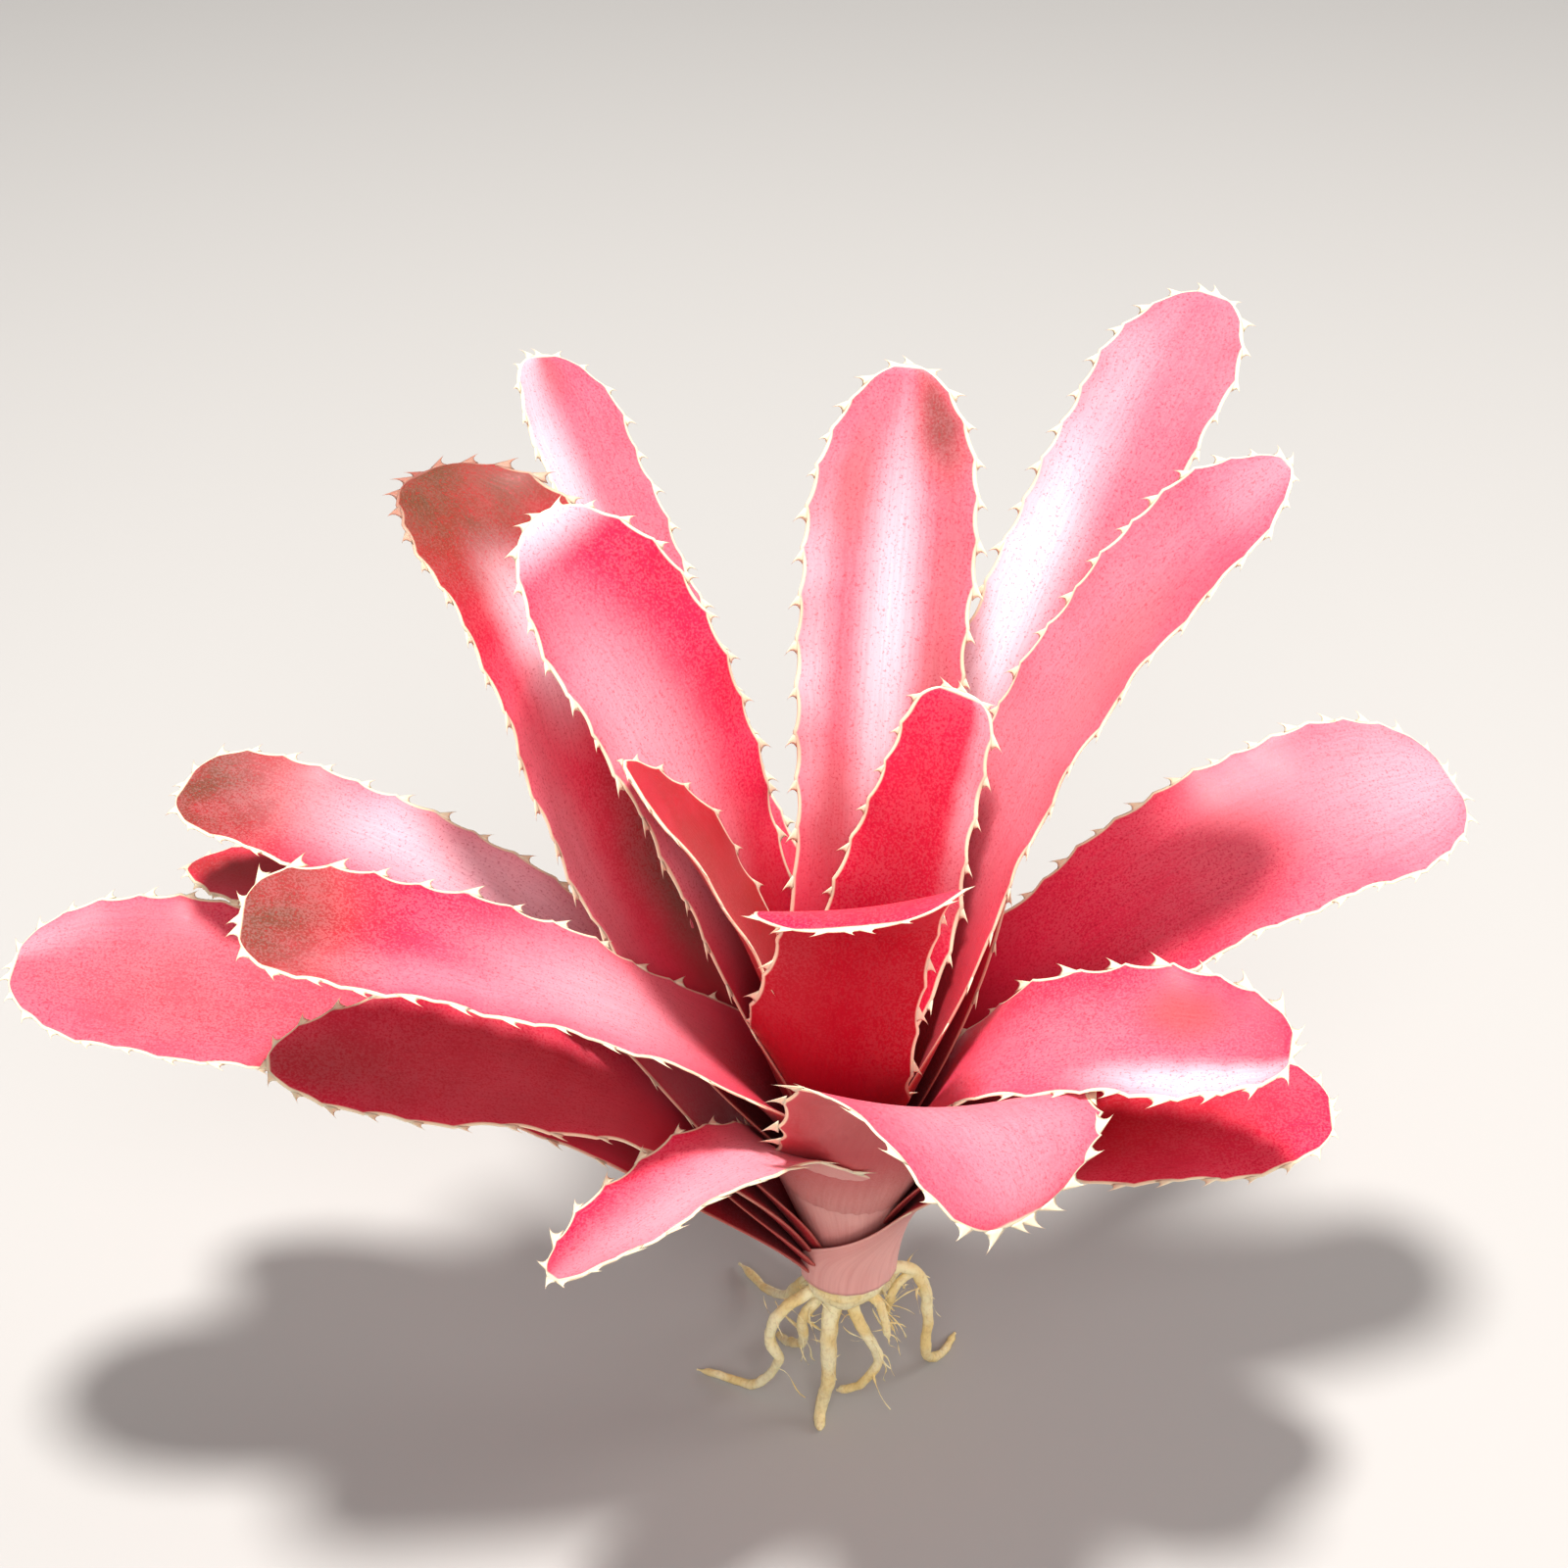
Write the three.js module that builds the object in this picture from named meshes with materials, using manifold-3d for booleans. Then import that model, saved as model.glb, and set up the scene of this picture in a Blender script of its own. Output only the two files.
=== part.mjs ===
// A bare-root fireball neoregelia, a small red bromeliad, standing on its own roots.
// Millimetres, +Z up. The photographed front faces -Y, with +X to its right.
// Each leaf is one closed blade with a spined margin. The stem and its roots grew as one body.

import * as THREE from "three";
import { mergeVertices } from "three/addons/utils/BufferGeometryUtils.js";
import Module from "manifold-3d";

const wasm = await Module();
wasm.setup();

// Driving dimensions
const crownHeight = 20; // underside of the stem above the surface that the roots stand on
const stemHeight = 24; // from the crown to the growing point
const stemFootRadius = 5.2;
const stemTopRadius = 1.2;
const stemSides = 16;
const rootSides = 7;
const rootStep = 1.8; // between the rings of a root
const bladeThickness = 0.7;
const marginThickness = 0.62;
const spineTipThickness = 0.6;
const seatGap = 0.35; // clearance between a sheath and what it clasps

const spinePitch = 5.0; // between marginal spines along a blade
const tipSpinePitch = 3.2; // and round its tip
const spineLength = 1.3;
const spineHalfBase = 0.8;
const tipPointLength = 2.2; // the single point at a leaf's apex

const sheathShare = 0.25; // of a leaf's length, the part that clasps the plant's axis
const tipShare = 0.7; // length of the rounded tip, as a share of the blade's width

const { degToRad, lerp, smoothstep, clamp } = THREE.MathUtils;

// Leaves from the outermost in. heading: degrees round +Z from +X, at the base. rise: degrees above
// the horizon at the base, one third, two thirds and the tip. swing: how far the heading turns
// along the blade. roll: turn about the midrib at the tip. cup: half angle of the blade's channel.
// clasp: degrees round the axis that the sheath reaches on either side of its midrib.
const leaves = [
  { heading: 342, length: 57, width: 19, rise: [61, 40, 19, 11], swing: 14, roll: -6, cup: 15, clasp: 110 },
  { heading: 179, length: 98, width: 21, rise: [55, 32, 14, 8], swing: 0, roll: -8, cup: 15, clasp: 50 },
  { heading: 163, length: 89, width: 18, rise: [58, 42, 12, -6], swing: 0, roll: 0, cup: 18, clasp: 46 },
  { heading: 193, length: 72, width: 20, rise: [62, 45, 20, 8], swing: 0, roll: -12, cup: 15, clasp: 50 },
  { heading: 166, length: 91, width: 17, rise: [64, 45, 20, 7], swing: 0, roll: -5, cup: 20, clasp: 48 },
  { heading: 240, length: 53, width: 15, rise: [66, 53, -1, -5], swing: -22, roll: 20, cup: 20, clasp: 50 },
  { heading: 19, length: 87, width: 21, rise: [62, 47, 19, 4], swing: 0, roll: 15, cup: 15, clasp: 46 },
  { heading: 287, length: 61, width: 26, rise: [62, 64, 38, -42], swing: 2, roll: -24, cup: 14, clasp: 56 },
  { heading: 326, length: 64, width: 19, rise: [71, 65, 16, 2], swing: 20, roll: 14, cup: 15, clasp: 60 },
  { heading: 123, length: 101, width: 17, rise: [62, 54, 50, 44], swing: 0, roll: 24, cup: 20, clasp: 50 },
  { heading: 155, length: 95, width: 20, rise: [64, 58, 68, 15], swing: -14, roll: 0, cup: 20, clasp: 48 },
  { heading: 204, length: 81, width: 19, rise: [73, 56, 17, 8], swing: -20, roll: -5, cup: 15, clasp: 60 },
  { heading: 48, length: 103, width: 18, rise: [68, 66, 56, 44], swing: 0, roll: 0, cup: 18, clasp: 48 },
  { heading: 155, length: 79, width: 20, rise: [69, 74, 66, 50], swing: 0, roll: -18, cup: 15, clasp: 46 },
  { heading: 29, length: 89, width: 17, rise: [69, 74, 59, 36], swing: -14, roll: 5, cup: 18, clasp: 50 },
  { heading: 262, length: 51, width: 23, rise: [60, 82, 97, 10], swing: 0, roll: 0, cup: 14, clasp: 55 },
  { heading: 80, length: 85, width: 19, rise: [70, 76, 64, 53], swing: 0, roll: 0, cup: 18, clasp: 48 },
  { heading: 176, length: 57, width: 13, rise: [71, 76, 66, 54], swing: 0, roll: 0, cup: 30, clasp: 46 },
  { heading: 50, length: 53, width: 14, rise: [71, 79, 72, 64], swing: 0, roll: 0, cup: 30, clasp: 50 },
];

// Roots from the stem outward, thickest first. from and to: radius where it leaves the stem and at
// its end. path: points of its centre line. Those that end near z = 0 lie along the surface.
const roots = [
  { from: 1.5, to: 0.9, path: [[-1, -1, 19], [-2, -3, 13], [-2, -4, 6], [-3, -5, 1], [-3, -7, 0.4]] },
  {
    from: 1,
    to: 0.8,
    path: [[-2, -1, 19], [-7, -3, 17], [-9, -3, 12], [-8, -3, 8], [-11, -1, 2], [-18, 3, 0.4]],
  },
  { from: 1, to: 0.8, path: [[2, 0, 19], [8, 2, 18], [10, 2, 11], [10, 2, 4], [12, 5, 0.8], [14, 9, 0.4]] },
  { from: 1, to: 0.8, path: [[-1, 1, 18], [-4, 8, 11], [-8, 13, 3], [-13, 21, 0.4]] },
  { from: 1, to: 0.8, path: [[1, 1, 18], [4, 8, 10], [5, 14, 3], [8, 21, 0.4]] },
  { from: 1, to: 0.7, path: [[0, -1, 18], [2, -3, 13], [4, -3, 8], [2, -3, 4], [-1, -2, 2]] },
  { from: 0.9, to: 0.7, path: [[-1, 0, 18], [-5, -1, 13], [-5, 1, 7], [-7, 6, 2], [-8, 9, 0.4]] },
  { from: 0.9, to: 0.7, path: [[1, -1, 18], [4, -3, 17], [5, -4, 12]] },
  { from: 0.8, to: 0.6, path: [[8, 2, 17.6], [6, 1, 16], [5, 1, 11]] },
  { from: 0.8, to: 0.6, path: [[0, 1, 18], [1, 6, 13], [-1, 9, 7], [1, 12, 3]] },
];

// A smooth value through equally spaced knots
function through(knots, t) {
  const x = clamp(t, 0, 1) * (knots.length - 1);
  const i = Math.min(Math.floor(x), knots.length - 2);
  const f = x - i;
  const [a, b, c, d] = [
    knots[Math.max(i - 1, 0)],
    knots[i],
    knots[i + 1],
    knots[Math.min(i + 2, knots.length - 1)],
  ];
  return b + 0.5 * f * (c - a + f * (2 * a - 5 * b + 4 * c - d + f * (3 * (b - c) + d - a)));
}

// Where a leaf leaves the stem: the outermost lowest
function seat(rank) {
  const share = rank / (leaves.length - 1);
  const height = lerp(1.5, stemHeight - 1.5, share);
  const radius = lerp(stemFootRadius, stemTopRadius, height / stemHeight);
  return { height: crownHeight + height, radius: radius + seatGap + bladeThickness / 2 };
}

// The midrib in steps of 1 mm: position, side, inner normal and the curvature across the blade
function midrib(leaf, rank) {
  const { height, radius } = seat(rank);
  const outward = new THREE.Vector3(
    Math.cos(degToRad(leaf.heading)),
    Math.sin(degToRad(leaf.heading)),
    0,
  );
  const place = outward.clone().multiplyScalar(radius).setZ(height);
  const stations = [];
  const steps = Math.ceil(leaf.length + tipPointLength) + 2;
  for (let s = 0; s <= steps; s++) {
    const t = s / leaf.length;
    const rise = degToRad(through(leaf.rise, t));
    const heading = degToRad(leaf.heading + leaf.swing * smoothstep(t, 0.15, 0.75));
    const ahead = new THREE.Vector3(
      Math.cos(rise) * Math.cos(heading),
      Math.cos(rise) * Math.sin(heading),
      Math.sin(rise),
    );
    const side = new THREE.Vector3(-Math.sin(heading), Math.cos(heading), 0);
    const up = side.clone().cross(ahead).negate();
    const open = smoothstep(t, sheathShare * 0.8, sheathShare * 2);
    const normal = outward.clone().negate().lerp(up, open).normalize();
    const turn = degToRad(leaf.roll) * smoothstep(t, 0.15, 1);
    side.applyAxisAngle(ahead, turn);
    normal.applyAxisAngle(ahead, turn);
    const reach = Math.hypot(place.x, place.y);
    const bend = lerp(1 / reach, (2 * degToRad(leaf.cup)) / leaf.width, open);
    stations.push({ place: place.clone(), side, normal, bend, reach });
    place.add(ahead);
  }
  return stations;
}

// A point of the blade's middle surface: s along the midrib, u across it
function bladePoint(stations, s, u) {
  const i = Math.min(Math.max(Math.floor(s), 0), stations.length - 2);
  const [a, b, f] = [stations[i], stations[i + 1], s - i];
  const side = a.side.clone().lerp(b.side, f);
  const normal = a.normal.clone().lerp(b.normal, f);
  const bend = lerp(a.bend, b.bend, f);
  return a.place
    .clone()
    .lerp(b.place, f)
    .addScaledVector(side, Math.sin(bend * u) / bend)
    .addScaledVector(normal, (1 - Math.cos(bend * u)) / bend);
}

function bladeNormal(stations, s, u) {
  const d = 0.4;
  const along = bladePoint(stations, s + d, u).sub(bladePoint(stations, s - d, u));
  const across = bladePoint(stations, s, u + d).sub(bladePoint(stations, s, u - d));
  return along.cross(across).normalize();
}

// Half the width of the flat leaf at s, where a sheath is no wider than its clasp
function halfWidth(leaf, stations, s) {
  const t = s / leaf.length;
  const waist = lerp(0.92, 1, smoothstep(t, 0.45, 0.7));
  const blade = (leaf.width / 2) * lerp(1.4, waist, smoothstep(t, 0.15, 0.45));
  const station = stations[clamp(Math.round(s), 0, stations.length - 1)];
  const sheath = degToRad(leaf.clasp) * station.reach;
  const body = Math.pow(Math.pow(blade, -4) + Math.pow(sheath, -4), -1 / 4);
  const tip = leaf.width * tipShare;
  const x = clamp((s - leaf.length + tip) / tip, 0, 1);
  return body * Math.pow(1 - Math.pow(x, 2.3), 1 / 2.3);
}

// One margin of the flat leaf from base to apex, spines included. s and u place a point on the
// blade, and key is where it joins the rows across the blade. A spine's tip joins none.
function margin(leaf, stations, hand) {
  const line = [];
  const steps = 400;
  for (let i = 0; i <= steps; i++) {
    const q = i / steps;
    const s = leaf.length * (1 - Math.pow(1 - q, 2)); // finer near the apex, where the outline turns
    line.push(new THREE.Vector2(halfWidth(leaf, stations, s), s));
  }
  const far = [0];
  for (let i = 1; i <= steps; i++) far.push(far[i - 1] + line[i].distanceTo(line[i - 1]));
  const total = far[steps];
  const at = (a) => {
    let i = 1;
    while (i < steps && far[i] < a) i++;
    const f = clamp((a - far[i - 1]) / (far[i] - far[i - 1]), 0, 1);
    const ahead = line[i].clone().sub(line[i - 1]).normalize();
    return { point: line[i - 1].clone().lerp(line[i], f), ahead };
  };
  const sheathLength = leaf.length * sheathShare;
  const points = [];
  const put = (p, key, thickness) => points.push({ s: p.y, u: hand * p.x, key, thickness });
  put(line[0], 0, marginThickness);
  put(at(sheathLength * 0.55).point, sheathLength * 0.55, marginThickness);
  let a = sheathLength + (hand > 0 ? 0 : spinePitch / 2);
  while (a < total - tipSpinePitch * 0.8) {
    const { point, ahead } = at(a);
    const out = new THREE.Vector2(ahead.y, -ahead.x);
    const before = at(a - spineHalfBase);
    const after = at(a + spineHalfBase);
    const spine = point.clone().addScaledVector(out, spineLength).addScaledVector(ahead, 0.3);
    put(before.point, before.point.y, marginThickness);
    put(spine, null, spineTipThickness);
    put(after.point, after.point.y, marginThickness);
    const nearTip = smoothstep(a, total - leaf.width * 1.2, total - leaf.width * 0.5);
    a += lerp(spinePitch, tipSpinePitch, nearTip);
  }
  return points;
}

// Joins two rows of points with triangles, always stepping the row that lags
function stitch(a, b, triangles) {
  let [i, j] = [0, 0];
  while (i < a.length - 1 || j < b.length - 1) {
    const stepA = j === b.length - 1 || (i < a.length - 1 && a[i + 1].key <= b[j + 1].key);
    if (stepA) {
      triangles.push([a[i].id, a[i + 1].id, b[j].id]);
      i++;
    } else {
      triangles.push([a[i].id, b[j + 1].id, b[j].id]);
      j++;
    }
  }
}

// The flat leaf: its points, its triangles and its outline
function flatLeaf(leaf, stations) {
  const points = [];
  const add = (p) => {
    p.id = points.length;
    points.push(p);
    return p;
  };
  const rowStep = 5.5;
  const lastRow = leaf.length - leaf.width * 0.36;
  const rows = Math.round(lastRow / rowStep);
  const columns = [-0.7, -0.35, 0, 0.35, 0.7].map((share) =>
    Array.from({ length: rows + 1 }, (_, k) => {
      const s = (lastRow * k) / rows;
      return add({ s, u: share * halfWidth(leaf, stations, s), key: s, thickness: bladeThickness });
    }),
  );
  const left = margin(leaf, stations, -1).map(add);
  const right = margin(leaf, stations, 1).map(add);
  const apex = add({
    s: leaf.length + tipPointLength,
    u: 0,
    key: leaf.length,
    thickness: spineTipThickness,
  });
  const triangles = [];
  const [leftEdge, rightEdge] = [left, right].map((side) => side.filter((p) => p.key !== null));
  const split = (side) => side.findIndex((p) => p.key > lastRow);
  const [leftEnd, rightEnd] = [split(leftEdge), split(rightEdge)];
  const sides = [leftEdge.slice(0, leftEnd), ...columns, rightEdge.slice(0, rightEnd)];
  for (let i = 1; i < sides.length; i++) stitch(sides[i - 1], sides[i], triangles);
  left.forEach((p, i) => {
    if (p.key === null) triangles.push([left[i - 1].id, p.id, left[i + 1].id]);
  });
  right.forEach((p, i) => {
    if (p.key === null) triangles.push([right[i + 1].id, p.id, right[i - 1].id]);
  });
  // the tip: the ends of the columns against the outline that goes round the apex
  const tip = [...leftEdge.slice(leftEnd - 1), apex, ...rightEdge.slice(rightEnd - 1).reverse()];
  const ends = columns.map((column) => column.at(-1));
  const keyed = (p, key) => ({ id: p.id, key });
  const bands = tip.map((p, i) => keyed(p, i / (tip.length - 1)));
  const inner = ends.map((p, i) => keyed(p, (i + 0.5) / ends.length));
  stitch(bands, inner, triangles);
  const outline = [...left, apex, ...right.slice().reverse(), ...columns.map((c) => c[0]).reverse()];
  return { points, triangles, outline };
}

// Two like faces and a rim make the flat leaf a closed blade
function leafGeometry(leaf, rank) {
  const stations = midrib(leaf, rank);
  const { points, triangles, outline } = flatLeaf(leaf, stations);
  const position = [];
  for (const half of [0.5, -0.5]) {
    for (const p of points) {
      const normal = bladeNormal(stations, p.s, p.u);
      const v = bladePoint(stations, p.s, p.u).addScaledVector(normal, half * p.thickness);
      position.push(v.x, v.y, v.z);
    }
  }
  const count = points.length;
  const index = [];
  for (const [a, b, c] of triangles) {
    index.push(a, b, c);
    index.push(a + count, c + count, b + count);
  }
  outline.forEach((p, i) => {
    const a = p.id;
    const b = outline[(i + 1) % outline.length].id;
    index.push(b, a, a + count, b, a + count, b + count);
  });
  const geometry = new THREE.BufferGeometry();
  geometry.setAttribute("position", new THREE.Float32BufferAttribute(position, 3));
  geometry.setIndex(index);
  return geometry;
}

// A closed geometry as a solid, without the seams and flat triangles of its grid
function solid(geometry) {
  const bare = new THREE.BufferGeometry();
  bare.setAttribute("position", geometry.getAttribute("position"));
  bare.setIndex(geometry.getIndex());
  const welded = mergeVertices(bare, 1e-4);
  const corners = welded.getIndex().array;
  const kept = [];
  for (let i = 0; i < corners.length; i += 3) {
    const [a, b, c] = corners.slice(i, i + 3);
    if (a !== b && b !== c && c !== a) kept.push(a, b, c);
  }
  const vertProperties = welded.getAttribute("position").array;
  const triVerts = new Uint32Array(kept);
  return new wasm.Manifold(new wasm.Mesh({ numProp: 3, vertProperties, triVerts }));
}

function stem() {
  const top = crownHeight + stemHeight;
  const profile = [
    [0, crownHeight - 4.5],
    [2.6, crownHeight - 4],
    [4.6, crownHeight - 1.5],
    [stemFootRadius, crownHeight],
    [stemTopRadius, top],
    [0, top + 0.6],
  ];
  const lathe = new THREE.LatheGeometry(
    profile.map(([r, z]) => new THREE.Vector2(r, z)),
    stemSides,
  );
  return lathe.rotateX(Math.PI / 2);
}

// One tapering root with a blunt end
function rootGeometry({ from, to, path }) {
  const curve = new THREE.CatmullRomCurve3(path.map((p) => new THREE.Vector3(...p)));
  const rings = Math.ceil(curve.getLength() / rootStep);
  const frames = curve.computeFrenetFrames(rings);
  const position = [];
  const index = [];
  const add = (v) => position.push(v.x, v.y, v.z) / 3 - 1;
  const first = add(curve.getPointAt(0));
  for (let i = 0; i <= rings; i++) {
    const centre = curve.getPointAt(i / rings);
    const radius = lerp(from, to, i / rings);
    for (let k = 0; k < rootSides; k++) {
      const angle = (2 * Math.PI * k) / rootSides;
      const v = centre
        .clone()
        .addScaledVector(frames.normals[i], radius * Math.cos(angle))
        .addScaledVector(frames.binormals[i], radius * Math.sin(angle));
      const here = add(v);
      const next = k === rootSides - 1 ? here - rootSides + 1 : here + 1;
      if (i > 0) {
        index.push(here - rootSides, next - rootSides, here);
        index.push(next - rootSides, next, here);
      } else {
        index.push(first, next, here);
      }
    }
  }
  const last = add(curve.getPointAt(1).addScaledVector(frames.tangents[rings], to * 0.7));
  for (let k = 0; k < rootSides; k++) {
    index.push(last - rootSides + k, last - rootSides + ((k + 1) % rootSides), last);
  }
  const geometry = new THREE.BufferGeometry();
  geometry.setAttribute("position", new THREE.Float32BufferAttribute(position, 3));
  geometry.setIndex(index);
  return geometry;
}

// The stem and its roots, cut level where they meet the surface
function rootstockGeometry() {
  const under = new THREE.BoxGeometry(200, 200, 20).translate(0, 0, -10);
  const joined = roots.reduce((body, root) => body.add(solid(rootGeometry(root))), solid(stem()));
  const { vertProperties, triVerts } = joined.subtract(solid(under)).getMesh();
  const geometry = new THREE.BufferGeometry();
  geometry.setAttribute("position", new THREE.Float32BufferAttribute(vertProperties, 3));
  geometry.setIndex(Array.from(triVerts));
  return geometry;
}

const plant = new THREE.Group();
function addPiece(name, geometry, color, roughness) {
  const material = new THREE.MeshStandardMaterial({ color, roughness, metalness: 0 });
  const mesh = new THREE.Mesh(geometry, material);
  mesh.name = name;
  plant.add(mesh);
}
addPiece("rootstock", rootstockGeometry(), 0xd8bd7a, 0.8);
leaves.forEach((leaf, rank) => {
  addPiece("leaf_" + String(rank + 1).padStart(2, "0"), leafGeometry(leaf, rank), 0xc8203f, 0.4);
});

// The origin is under the middle of the plant's bounding box, on the surface
const middle = new THREE.Box3().setFromObject(plant).getCenter(new THREE.Vector3());
plant.position.set(-middle.x, -middle.y, 0);

const object = new THREE.Group();
object.add(plant);

export default object;
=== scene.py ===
# Fireball neoregelia, bare root: leaf skins with spined margins, and the rootstock
import math

import bpy
import numpy as np
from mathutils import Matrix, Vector


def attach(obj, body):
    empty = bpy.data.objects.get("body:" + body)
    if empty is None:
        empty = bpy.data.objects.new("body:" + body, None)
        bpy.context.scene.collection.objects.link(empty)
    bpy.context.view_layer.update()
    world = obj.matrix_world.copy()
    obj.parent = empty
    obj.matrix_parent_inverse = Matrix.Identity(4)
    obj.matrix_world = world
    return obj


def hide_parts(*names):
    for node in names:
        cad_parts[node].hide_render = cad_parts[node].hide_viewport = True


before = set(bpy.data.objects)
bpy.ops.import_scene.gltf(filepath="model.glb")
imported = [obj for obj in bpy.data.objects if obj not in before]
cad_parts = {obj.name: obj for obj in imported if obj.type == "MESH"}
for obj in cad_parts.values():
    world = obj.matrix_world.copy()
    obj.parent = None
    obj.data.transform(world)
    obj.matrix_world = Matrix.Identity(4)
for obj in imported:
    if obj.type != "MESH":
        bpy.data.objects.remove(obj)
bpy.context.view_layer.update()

mm = 0.001
plantCentre = np.array([10.88, -6.87, 0.0])  # the plant's axis in the frame, in mm

# helpers for objects and node trees

number = "NodeSocketFloat"
whole = "NodeSocketInt"
shape = "NodeSocketGeometry"


def newObject(name, data):
    thing = bpy.data.objects.new(name, data)
    bpy.context.scene.collection.objects.link(thing)
    return thing


def newMaterial(name):
    material = bpy.data.materials.new(name)
    material.use_nodes = True
    return material, material.node_tree, material.node_tree.nodes["Principled BSDF"]


def setInputs(node, values):  # plain values on a node's own sockets
    for label, value in values.items():
        node.inputs[label].default_value = value


def plug(tree, value, socket):  # a node stands for its first output
    if isinstance(value, bpy.types.Node):
        value = value.outputs[0]
    if isinstance(value, bpy.types.NodeSocket):
        tree.links.new(value, socket)
    elif isinstance(value, tuple) and len(value) == 3 and socket.type == "RGBA":
        socket.default_value = (*value, 1)
    else:
        socket.default_value = value


def addNode(tree, kind, inputs=None, **settings):
    node = tree.nodes.new(kind)
    for key, value in settings.items():
        setattr(node, key, value)
    for key, value in (inputs or {}).items():
        plug(tree, value, node.inputs[key])
    return node


def maths(tree, operation, a, b=0.0, c=0.0):
    node = addNode(tree, "ShaderNodeMath", operation=operation)
    for value, socket in zip((a, b, c), node.inputs):
        plug(tree, value, socket)
    return node.outputs[0]


def times(tree, first, *more):  # the product of several values
    for value in more:
        first = maths(tree, "MULTIPLY", first, value)
    return first


def scaled(tree, vector, factor):
    inputs = {0: vector, "Scale": factor}
    return addNode(tree, "ShaderNodeVectorMath", inputs, operation="SCALE")


def noise(tree, place, scale, detail, roughness=0.5):
    inputs = {"Vector": place, "Scale": scale, "Detail": detail, "Roughness": roughness}
    return addNode(tree, "ShaderNodeTexNoise", inputs)


def split(tree, vector):  # its x, y and z
    return addNode(tree, "ShaderNodeSeparateXYZ", {0: vector}).outputs


def combine(tree, *parts):
    return addNode(tree, "ShaderNodeCombineXYZ", dict(enumerate(parts)))


def moved(tree, geometry, **where):
    return addNode(tree, "GeometryNodeSetPosition", {"Geometry": geometry, **where})


def ramp(tree, value, lo, hi, outLo=0.0, outHi=1.0):  # from outLo at lo to outHi at hi, eased
    node = addNode(tree, "ShaderNodeMapRange", interpolation_type="SMOOTHSTEP")
    for what, socket in zip((value, lo, hi, outLo, outHi), node.inputs):
        plug(tree, what, socket)
    return node.outputs[0]


def mixed(tree, mask, a, b):
    return addNode(tree, "ShaderNodeMix", {0: mask, 6: a, 7: b}, data_type="RGBA").outputs[2]


def attribute(tree, name):
    return addNode(tree, "ShaderNodeAttribute", attribute_name=name)


def newTree(name, kind, inputs, outputs):
    tree = bpy.data.node_groups.new(name, kind)
    for way, sockets in (("INPUT", inputs), ("OUTPUT", outputs)):
        for label, (socketType, value) in sockets.items():
            socket = tree.interface.new_socket(label, in_out=way, socket_type=socketType)
            if value is not None:
                socket.default_value = value
    return tree, addNode(tree, "NodeGroupInput").outputs, addNode(tree, "NodeGroupOutput").inputs


def bakeNodes(piece, tree, values):  # the tree's result as a plain mesh object of the same name
    modifier = piece.modifiers.new(tree.name, "NODES")
    modifier.node_group = tree
    for item in tree.interface.items_tree:
        if item.in_out == "INPUT" and item.name in values:
            modifier[item.identifier] = values[item.name]
    graph = bpy.context.evaluated_depsgraph_get()
    mesh = bpy.data.meshes.new_from_object(
        piece.evaluated_get(graph), preserve_all_data_layers=True, depsgraph=graph
    )
    baked = newObject(piece.name + "Baked", mesh)
    name = piece.name
    bpy.data.objects.remove(piece)
    baked.name = name
    return baked


def named(tree, name, kind):
    node = addNode(tree, "GeometryNodeInputNamedAttribute", {"Name": name}, data_type=kind)
    return node.outputs[0]


def stored(tree, geometry, name, value, kind):
    inputs = {"Geometry": geometry, "Name": name, "Value": value}
    settings = {"data_type": kind, "domain": "POINT"}
    return addNode(tree, "GeometryNodeStoreNamedAttribute", inputs, **settings)


def dressed(tree, geometry, given, result):
    inputs = {"Geometry": geometry, "Material": given["Skin"]}
    plug(tree, addNode(tree, "GeometryNodeSetMaterial", inputs), result[0])
    return tree


# camera, light, floor

view = {
    "place": (0.00358, -0.24347, 0.2485),
    "tilt": 56.0,
    "lens": 63.1,
    "sensor": 36.0,
    "nearest": 0.01,
}

studio = {
    "worldColour": (1.0, 0.985, 0.97),
    "worldStrength": 0.3,
    "floorColour": (0.455, 0.442, 0.43),
    "floorSize": 3.0,
    "floorSurface": {"Roughness": 0.9, "Specular IOR Level": 0.2},
}

lamps = {  # place, target, size, power, colour
    "keyAbove": ((-0.03, 0.02, 0.92), (0.0, 0.0, 0.06), 0.15, 12.5, (1.0, 0.98, 0.95)),
    "fillFront": ((0.05, -0.85, 0.75), (0.0, 0.0, 0.07), 0.7, 6.0, (1.0, 0.97, 0.95)),
    "rimRight": ((0.75, 0.15, 0.35), (0.0, 0.0, 0.06), 0.35, 2.0, (1.0, 0.98, 0.96)),
}


def makeCamera():
    data = bpy.data.cameras.new("photoView")
    data.sensor_fit = "HORIZONTAL"
    data.sensor_width = view["sensor"]
    data.lens = view["lens"]
    data.clip_start = view["nearest"]
    camera = newObject("photoView", data)
    camera.location = view["place"]
    camera.rotation_euler = (math.radians(view["tilt"]), 0, 0)
    bpy.context.scene.camera = camera


def makeStudio():
    scene = bpy.context.scene
    scene.view_settings.view_transform = "Standard"
    world = bpy.data.worlds.new("studioWorld")
    world.use_nodes = True
    background = world.node_tree.nodes["Background"]
    background.inputs["Color"].default_value = (*studio["worldColour"], 1)
    background.inputs["Strength"].default_value = studio["worldStrength"]
    scene.world = world
    for name, (place, target, size, power, colour) in lamps.items():
        data = bpy.data.lights.new(name, "AREA")
        data.shape = "DISK"
        data.size = size
        data.energy = power
        data.color = colour
        lamp = newObject(name, data)
        lamp.location = place
        lamp.rotation_euler = (Vector(target) - Vector(place)).to_track_quat("-Z", "Y").to_euler()


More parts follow.
